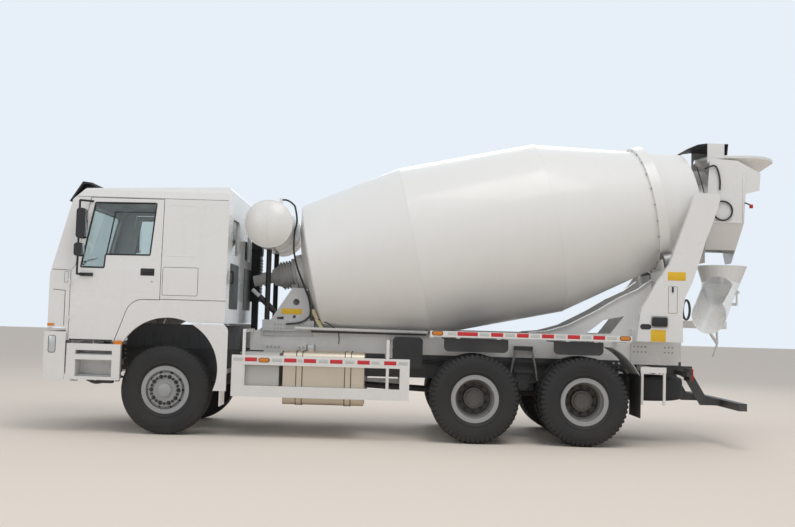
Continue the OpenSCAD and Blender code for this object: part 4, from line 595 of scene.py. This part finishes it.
def cab_nose_x(y, z):
    """Nose of the cab: the rearmost of its side view outline and its plan."""
    side = np.interp(z, [1.262, 1.5, 1.76, 2.04, 2.88, 3.03, 3.1],
        [-1.532, -1.545, -1.516, -1.436, -1.232, -1.085, -0.4])
    return np.maximum(side, nose_x(y, cab_half, -1.545, cab_bend))


def side_line(points, width, proud=0.0015, count=60, closed=False):
    """A seam or bead on the cab's side: a small round section along a line of (x, z) points, half
    sunk in the surface. The path lies on the side and the section's radius is half the width."""
    p = np.array(points, float)
    if closed:
        p = np.concatenate([p, p[:1]])
    step = np.concatenate([[0], np.cumsum(np.linalg.norm(np.diff(p, axis=0), axis=1))])
    t = np.linspace(0, step[-1], count)
    x, z = np.interp(t, step, p[:, 0]), np.interp(t, step, p[:, 1])
    y = -(cab_side_y(x, z) + proud - 0.5 * width * 0.6)
    path = np.stack([x, y, z], -1)
    grid, c = tube(path, 0.5 * width, 8)
    return both(grid), c


def round_box(x0, z0, x1, z1, r, steps=6):
    """Outline of (x, z) points of a rounded rectangle."""
    return rounded(0.5 * (x1 - x0), 0.5 * (z1 - z0), r, 0, steps) + (0.5 * (x0 + x1), 0.5 * (z0 + z1))


seam_dark = finish("seam_shadow", (0.035, 0.035, 0.037), dust=0.1, rough=(0.6, 0.8))
seal_rubber = finish("seal_rubber", (0.012, 0.012, 0.013), dust=0.1, rough=(0.5, 0.65), grain=400)
skin("cab_seams", "cab", seam_dark, "dark_paint", side_line([(-1.262, 1.31), (-1.262, 1.74)], 0.008),
     side_line([(-1.41, 1.752), (-1.262, 1.74)], 0.007), side_line([(-1.43, 2.0), (-1.215, 1.992)], 0.007),
     side_line(round_box(-1.278, 1.84, -1.235, 1.975, 0.01), 0.004, closed=True),
     side_line([(-0.09, 1.664), (0.714, 1.664)], 0.007),
     side_line(round_box(-0.072, 1.716, 0.364, 2.063, 0.02), 0.005, closed=True, count=120),
     side_line([(-1.18, 2.917), (-1.0, 2.918), (0.70, 2.918)], 0.006))
corner_lamp = panel_on(cab_nose_x, 1.02, 1.17, 1.322, 1.354, 0.006, 0.012)
lamp_side_face = block((-1.42, -1.2095, 1.318), (0.045, 0.006, 0.018), 0.003, 0.01, 4, "y")
skin("corner_indicators", "cab", lamp_amber, "red_lens", *mirrored([corner_lamp, lamp_side_face]))
skin("cab_pressings", "cab", white_enamel, "white_paint",
     side_line(round_box(-0.052, 2.205, 0.355, 2.838, 0.05, 8), 0.016, proud=0.0, count=160, closed=True))
for side, s in sides:
    # window seal, division bar, handle shell, lock
    k = 0 if s < 0 else 1
    window = [(-0.948, 2.846), (-0.19, 2.856), (-0.241, 2.206), (-0.79, 2.2), (-0.8, 2.036), (-1.088, 2.036)]
    seal, c = side_line(window, 0.022, proud=0.002, count=200, closed=True)
    skin(f"window_seal_{side}", f"door_{side}", seal_rubber, "black_rubber", (seal[k], c))
    bar, c = side_line([(-0.70, 2.735), (-0.78, 2.21)], 0.016, proud=-0.008)
    top_bar, c = side_line([(-0.205, 2.742), (-0.70, 2.735)], 0.010, proud=-0.012)
    skin(f"window_bars_{side}", f"door_{side}", seal_rubber, "black_rubber", (bar[k], c), (top_bar[k], c))
    skin(f"door_handle_{side}", f"door_{side}", black_plastic, "black_plastic",
         block((-0.261, s * 1.205, 1.995), (0.088, 0.011, 0.046), 0.005, 0.02, 5, "y"),
         block((-0.261, s * 1.2175, 1.998), (0.075, 0.006, 0.013), 0.005))
    grid = turned([(0, 0.003), (0.010, 0.003), (0.012, 0.0), (0.012, -0.004)], 16)
    skin(f"door_lock_{side}", f"door_{side}", bolt_zinc, "grey_paint",
         (lay(grid, (-0.202, s * 1.215, 1.878), (0, s, 0)), "c"))
    crease, c = side_line([(-1.19, 1.748), (-0.11, 1.752)], 0.010, proud=-0.0005, count=80)
    skin(f"door_crease_{side}", f"door_{side}", white_enamel, "white_paint", (crease[k], c))
    sill, c = side_line([(-1.19, 1.140), (-0.66, 1.140)], 0.022, proud=0.001)
    skin(f"door_sill_{side}", f"door_{side}", seal_rubber, "black_rubber", (sill[k], c))

# windscreen seal, wipers and the front panel's bars
screen = rounded(1.01, 0.3875, 0.06, 0, 8) + (0, 2.4625)
t = np.linspace(0, len(screen), 300)
loop = np.concatenate([screen, screen[:1]])
sy, sz = np.interp(t, np.arange(len(loop)), loop[:, 0]), np.interp(t, np.arange(len(loop)), loop[:, 1])
grid, c = tube(np.stack([cab_nose_x(sy, sz) + 0.002, sy, sz], -1), 0.014, 8, (1, 0, 0))
skin("windscreen_seal", "cab", seal_rubber, "black_rubber", (grid, c))
wiper_parts = []
for y0, y1 in ((-0.75, -0.15), (-0.05, 0.55)):
    arm = np.array([(y0, 2.06), (y0 + 0.25 * (y1 - y0), 2.15), (y0 + 0.5 * (y1 - y0), 2.20)])
    wiper_parts.append(tube(np.stack([cab_nose_x(arm[:, 0], arm[:, 1]) - 0.03, arm[:, 0], arm[:, 1]], -1),
        0.008, 8, (1, 0, 0)))
    blade = np.stack([np.linspace(y0 + 0.02, y1, 20), np.linspace(2.16, 2.24, 20)], -1)
    wiper_parts.append(tube(np.stack([cab_nose_x(blade[:, 0], blade[:, 1]) - 0.016, blade[:, 0], blade[:, 1]],
        -1), 0.007, 6, (1, 0, 0)))
skin("wipers", "cab", black_plastic, "black_plastic", *wiper_parts)
skin("panel_trim", "front_panel", black_plastic, "black_plastic",
     panel_on(cab_nose_x, -0.70, 0.70, 1.60, 1.62, 0.004, 0.008),
     panel_on(cab_nose_x, -0.70, 0.70, 1.745, 1.765, 0.004, 0.008))
roof_lamps = np.array([(-0.98, y, 3.045) for y in (-0.75, -0.25, 0.25, 0.75)])
skin("roof_marker_lamps", "cab", lamp_amber, "red_lens", block(roof_lamps, (0.035, 0.05, 0.02), 0.012))

# GLASS: toughened and laminated panes, faintly green, held in the rubber seals above. The
# material is plain.
window_glass = clear("window_glass", (0.72, 0.79, 0.78), 0.01, 0.97)
dress(window_glass, "cab_glass", "door_glass_left", "door_glass_right")

# CAB INTERIOR: moulded dash and cloth seats in dark grey.
seat_cloth = finish("seat_cloth", (0.06, 0.06, 0.065), dust=0.0, rough=(0.8, 0.95), grain=900, relief=0.6)
dress(seat_cloth, "cab_interior")

# MIRRORS, VISOR AND INTAKE: moulded black plastic with a fine grain.
dress(black_plastic, "mudguards_rear", "air_intake", "sun_visor", "mirror_left", "mirror_right")
shroud_grey = finish("shroud_grey", (0.40, 0.40, 0.385), dust=0.5, dust_top=1.6, rough=(0.4, 0.6))
tint("mudguards_rear", shroud_grey, lambda x, y, z: (x > 5.50) & (z > 0.90))
mirror_glass = clear("mirror_glass", (0.80, 0.82, 0.84), 0.04, 0.0, 1.0)
for side, s in sides:
    skin(f"mirror_glass_{side}", f"door_{side}", mirror_glass, "clear_lens",
         block((-1.002, s * 1.345, 2.565), (0.004, 0.048, 0.165), 0.003, 0.02, 4, "x"),
         block((-1.027, s * 1.345, 2.243), (0.004, 0.046, 0.065), 0.003, 0.02, 4, "x"))
skin("intake_slats", "chassis", black_plastic, "black_plastic",
     block([(0.872, 0.925, z) for z in np.linspace(1.80, 2.30, 12)], (0.008, 0.11, 0.012), 0.004),
     block([(0.80, 0.796, z) for z in np.linspace(1.80, 2.45, 14)], (0.06, 0.008, 0.012), 0.004))

# CAB REAR WALL: the dark inspection panels below the rear windows, and a handle.
wall_panel = block([(0.717, -0.60, 1.86), (0.717, 0.60, 1.86)], (0.004, 0.34, 0.29), 0.003, 0.04, 5, "x")
panel_grey = finish("panel_grey", (0.10, 0.105, 0.11), dust=0.2, rough=(0.5, 0.6))
skin("rear_wall_panels", "cab", panel_grey, "dark_paint", wall_panel)
skin("rear_wall_handle", "cab", black_plastic, "black_plastic",
     tube(curve_through([(0.714, -0.90, 1.90), (0.745, -0.90, 1.905), (0.745, -0.90, 2.035),
         (0.714, -0.90, 2.04)], 20), 0.010, 8))

# SUBFRAME: folded steel beams in white on the rails, bolted through plates.
dress(white_enamel, "subframe")
plate_bolts = lattice((1.16, 1.21, 1.26, 1.31, 1.58, 1.63, 1.68, 1.73, 2.75, 2.80, 2.85, 2.90), (-0.441,),
    (0.97, 1.10))
skin("subframe_bolts", "chassis", bolt_zinc, "grey_paint", *side_bolts(plate_bolts, 0.010))
gutter = tube([(1.52, -0.52, 1.352), (2.3, -0.52, 1.347), (3.25, -0.52, 1.343)], 0.02, 10)
skin("pipe_rail", "chassis", white_enamel, "white_paint", *mirrored([gutter]))
# The black strip under the pipe rail is painted shade: a dark block where the gap below the rail falls in
# shadow.
skin("pipe_channel", "chassis", chassis_black, "dark_paint",
     *mirrored([block((2.48, -0.50, 1.318), (0.75, 0.02, 0.018), 0.005)]))

# FRONT PEDESTAL AND DRUM DRIVE: plate triangles with a blank yellow label; the gearbox is cast
# and ribbed, painted the same light grey.
pedestal_grey = finish("pedestal_grey", (0.60, 0.61, 0.62), dust=0.25, dust_top=2.5, streaks=0.1,
    rough=(0.35, 0.5), coat=0.1)
drive_grey = finish("drive_grey", (0.55, 0.56, 0.56), dust=0.4, dust_top=3.0, streaks=0.2, rough=(0.4, 0.6),
                    grain=80, relief=0.3)
label_yellow = finish("label_yellow", (0.80, 0.50, 0.02), dust=0.1, rough=(0.3, 0.4))
dress(pedestal_grey, "front_pedestal")
dress(drive_grey, "drum_drive")
base_bolts = lattice(np.concatenate([np.linspace(1.25, 1.47, 6), np.linspace(1.58, 1.72, 4)]), (-0.481,),
    (1.345, 1.40))
skin("pedestal_bolts", "chassis", bolt_zinc, "grey_paint", *side_bolts(base_bolts, 0.009))
skin("pedestal_label", "chassis", label_yellow, "white_paint",
     *mirrored([block((1.465, -0.4708, 1.567), (0.135, 0.001, 0.036), 0.0005)]))
skin("pedestal_latch", "chassis", line_black, "black_plastic",
     tube([(1.27, -0.478, 1.478), (1.31, -0.478, 1.478), (1.36, -0.478, 1.482)],
          np.array([0.005, 0.012, 0.016]), 10))
skin("tilt_strut_rod", "chassis", pedestal_grey, "grey_paint",
     tube([(0.935, -0.42, 1.842), (1.05, -0.42, 1.733)], 0.026, 14))
skin("tilt_strut", "chassis", line_black, "black_plastic",
     tube([(1.03, -0.42, 1.752), (1.20, -0.42, 1.592), (1.24, -0.42, 1.555)], 0.038, 14))
brace = tube([(1.74, -0.49, 1.60), (1.80, -0.49, 1.47), (1.885, -0.49, 1.315)], 0.028, 12)
skin("pedestal_brace", "chassis", finish("primer_cream", (0.66, 0.58, 0.36), dust=0.2, rough=(0.4, 0.55)),
     "white_paint", *mirrored([brace]))

# WATER TANK: rolled steel with dished ends, white, on two black posts.
tank_white = finish("tank_white", (0.82, 0.82, 0.81), dust=0.08, dust_top=5.0, streaks=0.04,
                    rough=(0.25, 0.4), coat=0.3, grain=50, relief=0.02)
dress(tank_white, "water_tank")
tint("water_tank", line_black, lambda x, y, z: (z < 2.36) & (np.abs(y) < 0.52))
tank_x, tank_z, tank_r, dish_r = 1.17, 2.67, 0.302, 0.44
rise = tank_r * np.sin(np.linspace(-1.35, 1.35, 40))
dish_y = -(0.88 + np.sqrt(dish_r ** 2 - rise ** 2) - dish_r * math.cos(math.asin(tank_r / dish_r)))
seam, c = tube(np.stack([1.165 + 0 * rise, dish_y, tank_z + rise], -1), 0.008, 8, (1, 0, 0))
turn = np.linspace(0, 2 * np.pi, 97)
hoop = [tube(np.stack([tank_x + tank_r * np.cos(turn), y + 0 * turn, tank_z + tank_r * np.sin(turn)], -1),
             0.005, 8) for y in (-0.88, -0.30, 0.30, 0.88)]
skin("tank_welds", "chassis", tank_white, "white_paint", (both(seam), c), *hoop)

# DRUM: welded plate cones and barrel, gloss white, with weld beads at the seams and a bare
# steel tread on the riding ring.
drum_white = finish("drum_white", (0.83, 0.83, 0.82), dust=0.06, dust_top=6.0, streaks=0.03,
                    rough=(0.30, 0.45), coat=0.25, grain=6, relief=0.02)
roller_steel = finish("roller_steel", (0.25, 0.25, 0.25), dust=0.3, dust_top=4.0, rough=(0.35, 0.5),
    metallic=0.7)
dress(drum_white, "drum")
dress(roller_steel, "roller_left", "roller_right")
tilt = math.radians(12)
drum_axis = np.array([math.cos(tilt), 0, math.sin(tilt)])
drum_seam = np.array([3.045, 0, 2.421])


def bead(radius, s, half=0.012, proud=0.0025):
    """A weld bead round the drum: a low arch of (radius, distance along the axis) turned about the
    drum's axis."""
    arch = [(radius - 0.004, s - half), (radius + proud * 0.7, s - half * 0.5), (radius + proud, s),
            (radius + proud * 0.7, s + half * 0.5), (radius - 0.004, s + half)]
    return lay(turned(arch, 160), drum_seam, drum_axis), "rc"


barrel_r, barrel_long = 1.15, 1.818
front_cone_r, front_cone_s = 0.882, -1.347
skin("drum_welds", "drum", drum_white, "white_paint", bead(barrel_r, 0.0), bead(barrel_r, barrel_long),
     bead(front_cone_r, front_cone_s))
turn = np.arange(24) * np.pi / 12
flange_r, flange_s = 0.84, 3.1315
heads = np.stack([flange_r * np.cos(turn), flange_r * np.sin(turn), flange_s + 0 * turn], -1)
heads = lay(heads[None], drum_seam, drum_axis).reshape(-1, 3)
skin("ring_bolts", "drum", bolt_zinc, "grey_paint", bolts(heads, -drum_axis, 0.012))

# REAR PEDESTAL: welded plate in white, with blank yellow labels, a tool locker door, bolts on
# the base plates and an oval hand hole.
dress(white_enamel, "rear_pedestal", "hopper", "collector", "ladder", "chute_bracket", "chute")
column_y = -0.8605
labels = [block((6.388, column_y, 2.152), (0.115, 0.001, 0.055), 0.0005),
          block((6.163, column_y, 1.389), (0.096, 0.001, 0.075), 0.0005)]
skin("column_labels", "chassis", label_yellow, "white_paint", *mirrored(labels))
lockers = [block((6.175, column_y - 0.012, 1.565), (0.0975, 0.015, 0.061), 0.008, 0.02, 5, "y"),
           block((6.339, column_y - 0.004, 1.98), (0.011, 0.008, 0.035), 0.003)]
skin("column_lockers", "chassis", line_black, "black_plastic", *mirrored(lockers))
# The hand hole is a near black oval disc on the column's face: painted shade of the opening.
hand_hole = rounded(0.062, 0.030, 0.030, 0, 8)
hole = np.stack([np.stack([6.002 + k * hand_hole[:, 0], np.full(len(hand_hole), column_y - d),
    1.50 + k * hand_hole[:, 1]], -1) for k,
                 d in ((0, 0.001), (0.85, 0.001), (1, 0.004), (1.1, 0.004), (1.15, 0.0), (1.15, -0.004),
                     (0, -0.004))])
skin("hand_holes", "chassis", seam_dark, "dark_paint", (both(hole), "c"))


def seam_loop(x0, z0, x1, z1, y, radius=0.012, width=0.004):
    """The shut line of a small door on a side face: a flat band round a rounded rectangle."""
    ring = [rounded(0.5 * (x1 - x0) + d, 0.5 * (z1 - z0) + d, radius + d, 0, 4) for d in (0, width, width, 0)]
    p = np.stack(ring)
    out = np.array([0.001, 0.001, -0.002, -0.002])[:, None] + 0 * p[..., 0]
    return both(np.stack([0.5 * (x0 + x1) + p[..., 0], y - out, 0.5 * (z0 + z1) + p[..., 1]], -1)), "rc"


skin("column_doors", "chassis", seam_dark, "dark_paint", seam_loop(6.287, 1.682, 6.397, 2.017, column_y),
     seam_loop(6.072, 1.497, 6.280, 1.633, column_y))
foot = lattice((5.955, 6.005, 6.055, 6.105, 6.36, 6.41, 6.46), (-0.452,), (1.17, 1.235))
skin("pedestal_foot_bolts", "chassis", bolt_zinc, "grey_paint", *side_bolts(foot, 0.010))
stay = [tube([(7.03, -0.04, 1.51), (7.10, -0.05, 1.41), (7.172, -0.06, 1.30)], 0.020, 8),
        tube([(7.172, -0.06, 1.305), (7.15, -0.06, 1.22), (7.115, -0.06, 1.12)], 0.014, 8),
        tube([(7.172, -0.02, 1.50), (7.174, -0.04, 1.40), (7.172, -0.06, 1.30)], 0.016, 8)]
skin("chute_stay", "chassis", white_enamel, "white_paint", *stay)

# HOPPER TRIM: a rolled lip on the hopper's rim, folded edges on the mast plates and a red work
# lamp on its bracket.
lip_turn = np.linspace(0, 2 * np.pi, 121)
lip_x, lip_r, lip_z = 7.375, 0.5065, 3.789
lip = np.stack([lip_x + lip_r * np.cos(lip_turn), lip_r * np.sin(lip_turn), lip_z + 0 * lip_turn], -1)
skin("hopper_lip", "chassis", white_enamel, "white_paint", tube(lip, 0.008, 8, (0, 0, 1)))
folds = [block((7.350, -0.520, 3.235), (0.010, 0.010, 0.33), 0.003),
         block((7.11, -0.520, 2.902), (0.23, 0.010, 0.010), 0.003),
         block((6.885, -0.520, 3.05), (0.010, 0.010, 0.15), 0.003)]
skin("mast_folds", "chassis", white_enamel, "white_paint", *mirrored(folds))
skin("work_lamp_bracket", "chassis", line_black, "black_plastic",
     tube([(7.35, -0.515, 3.17), (7.40, -0.512, 3.155), (7.44, -0.51, 3.14)], 0.009, 8))
skin("work_lamp", "chassis", lamp_red, "red_lens", block((7.455, -0.51, 3.12), (0.022, 0.018, 0.026), 0.008))

# HOPPER COVER AND HOSES: bent rubber sheet; black rubber hoses, the longest from the water
# tank's filler down past the front pedestal, and a coiled one for washing down.
sheet_rubber = finish("sheet_rubber", (0.020, 0.020, 0.024), dust=0.1, dust_top=6.0, rough=(0.45, 0.6),
    grain=120, relief=0.2)
hose_black = finish("hose_black", (0.012, 0.012, 0.013), dust=0.2, dust_top=4.0, rough=(0.35, 0.5))
dress(sheet_rubber, "hopper_cover")
route = [(1.3103, -0.6, 3.012), (1.345, -0.6, 3.013), (1.391, -0.6, 3.0), (1.445, -0.6, 2.962),
         (1.478, -0.6, 2.911), (1.505, -0.6, 2.74), (1.48, -0.6, 2.6), (1.475, -0.6, 2.48),
         (1.48, -0.6, 2.336), (1.53, -0.59, 2.13), (1.624, -0.56, 1.899), (1.69, -0.53, 1.72),
         (1.712, -0.51, 1.552), (1.665, -0.505, 1.47), (1.563, -0.505, 1.42), (1.4, -0.505, 1.4)]
hose = skin("water_hose", "chassis", hose_black, "black_rubber", tube(curve_through(route, 220), 0.012, 14))
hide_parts("water_hoses")
drive_hose = [(1.70, -0.50, 1.49), (1.83, -0.51, 1.47), (1.965, -0.52, 1.41), (2.07, -0.525, 1.33),
              (2.095, -0.53, 1.25), (2.095, -0.53, 1.16)]
skin("drive_hose", "chassis", hose_black, "black_rubber", tube(curve_through(drive_hose, 60), 0.007, 8))
turn = np.linspace(0, 4 * np.pi, 120)
loop = np.stack([7.075 + 0.125 * np.sin(turn), -0.524 - 0.004 * turn / np.pi, 3.05 + 0.125 * np.cos(turn)],
                -1)
skin("hopper_hose_loop", "chassis", hose_black, "black_rubber", tube(loop, 0.010, 10))
drop = curve_through([(6.83, -0.535, 3.60), (6.95, -0.54, 3.64), (7.00, -0.54, 3.58), (7.03, -0.54, 3.45),
    (7.03, -0.54, 3.32)], 60)
skin("hopper_hose", "chassis", hose_black, "black_rubber", tube(drop, 0.012, 10))
thin = curve_through([(6.70, -0.62, 3.60), (6.76, -0.63, 3.40), (6.84, -0.60, 3.16), (6.95, -0.535, 3.04)],
    60)
skin("hopper_thin_hose", "chassis", hose_black, "black_rubber", tube(thin, 0.007, 8))
turn = np.linspace(0, 8 * np.pi, 200)
coil = np.stack([6.525 + 0.045 * np.sin(turn), -0.80 - 0.006 * turn / np.pi, 1.73 + 0.125 * np.cos(turn)], -1)
skin("wash_hose_coil", "chassis", hose_black, "black_rubber", tube(coil, 0.011, 10))

# TAIL LAMPS AND SPARE WHEEL: red lenses in black cases; the spare lies flat under the frame, a
# block tread on the same grey disc.
dress(lamp_red, "tail_lamps")
skin("tail_lamp_cases", "chassis", black_plastic, "black_plastic",
     block([(6.535, s * 0.89, 0.9115) for s in (-1, 1)], (0.016, 0.126, 0.080), 0.006, 0.012, 4, "x"))
spare_x, spare_z = 6.15, 0.691
dress(wheel_grey, "spare_wheel")
tint("spare_wheel", tyre_rubber, lambda x, y, z: np.hypot(x - spare_x, y) > 0.262)
spare = tyre_surface("block")
spare = np.stack([spare[..., 0] + spare_x, spare[..., 2], spare[..., 1] + spare_z], -1)
skin("spare_tread", "chassis", tyre_rubber, "tyre_rubber", (spare, "rc"), sharp=50)

# STUDIO: a pale floor under a pale surround, lit by a soft overhead key lamp, a fill from the
# front and one from behind. Nothing here belongs to the truck.
def studio_floor():
    """Matt, pale and slightly warm."""
    m = bpy.data.materials.new("pale_floor")
    m.use_nodes = True
    p = m.node_tree.nodes["Principled BSDF"]
    p.inputs["Base Color"].default_value = (0.84, 0.76, 0.68, 1)
    p.inputs["Roughness"].default_value = 0.95
    return m


mesh = bpy.data.meshes.new("studio_floor")
mesh.from_pydata([(-80, -80, 0), (80, -80, 0), (80, 80, 0), (-80, 80, 0)], [], [(0, 1, 2, 3)])
mesh.materials.append(studio_floor())
floor = bpy.data.objects.new("studio_floor", mesh)
bpy.context.scene.collection.objects.link(floor)

world = bpy.data.worlds.new("studio_world")
bpy.context.scene.world = world
world.use_nodes = True
wn, wl = world.node_tree.nodes, world.node_tree.links
soft = wn["Background"]
soft.inputs["Color"].default_value = (0.90, 0.92, 0.95, 1)
soft.inputs["Strength"].default_value = 0.58
seen = wn.new("ShaderNodeBackground")
seen.inputs["Color"].default_value = (0.80, 0.87, 0.94, 1)
seen.inputs["Strength"].default_value = 1.0
path = wn.new("ShaderNodeLightPath")
seen_by = path.outputs["Is Camera Ray"]
for ray in ("Is Glossy Ray", "Is Transmission Ray"):
    either = wn.new("ShaderNodeMath")
    either.operation = "MAXIMUM"
    wl.new(seen_by, either.inputs[0])
    wl.new(path.outputs[ray], either.inputs[1])
    seen_by = either.outputs[0]
pick = wn.new("ShaderNodeMixShader")
wl.new(seen_by, pick.inputs[0])
wl.new(soft.outputs[0], pick.inputs[1])
wl.new(seen.outputs[0], pick.inputs[2])
wl.new(pick.outputs[0], wn["World Output"].inputs["Surface"])


def area_lamp(name, place, target, size, power, color=(1, 1, 1)):
    """A square soft lamp that looks at its target."""
    data = bpy.data.lights.new(name, "AREA")
    data.size, data.energy, data.color = size, power, color
    lamp = bpy.data.objects.new(name, data)
    bpy.context.scene.collection.objects.link(lamp)
    lamp.location = place
    lamp.rotation_euler = (Vector(target) - Vector(place)).to_track_quat("-Z", "Y").to_euler()


area_lamp("key_lamp", (3.0, -6.5, 14.0), (0, -1.0, 1.0), 8.0, 700, (1.0, 0.97, 0.92))
area_lamp("fill_lamp", (-10.0, -8.0, 6.0), (0, 0, 1.5), 7.0, 160)
area_lamp("back_lamp", (2.0, 12.0, 9.0), (0, 0, 1.5), 8.0, 340)

# CAMERA: at the photograph's place, on the left and low, with the picture's own small roll. Place
# and angles come from a fit to the tyres.
camera_data = bpy.data.cameras.new("camera")
camera_data.sensor_width = 36.0
camera_data.lens = 45.91
camera_data.clip_end = 300.0
camera = bpy.data.objects.new("camera", camera_data)
bpy.context.scene.collection.objects.link(camera)
yaw, pitch, roll = 0.00543808, 0.0572194, 0.0289892
look = Vector((math.sin(yaw) * math.cos(pitch), math.cos(yaw) * math.cos(pitch), math.sin(pitch)))
level = Vector((math.cos(yaw), -math.sin(yaw), 0.0))
up = level.cross(look)
right = math.cos(roll) * level + math.sin(roll) * up
above = -math.sin(roll) * level + math.cos(roll) * up
stand = Vector((2.75551 + AXLE_X, -13.7445, 1.4739))
camera.matrix_world = Matrix.Translation(stand) @ Matrix((right, above, -look)).transposed().to_4x4()
bpy.context.scene.camera = camera
bpy.context.scene.view_settings.view_transform = "Standard"
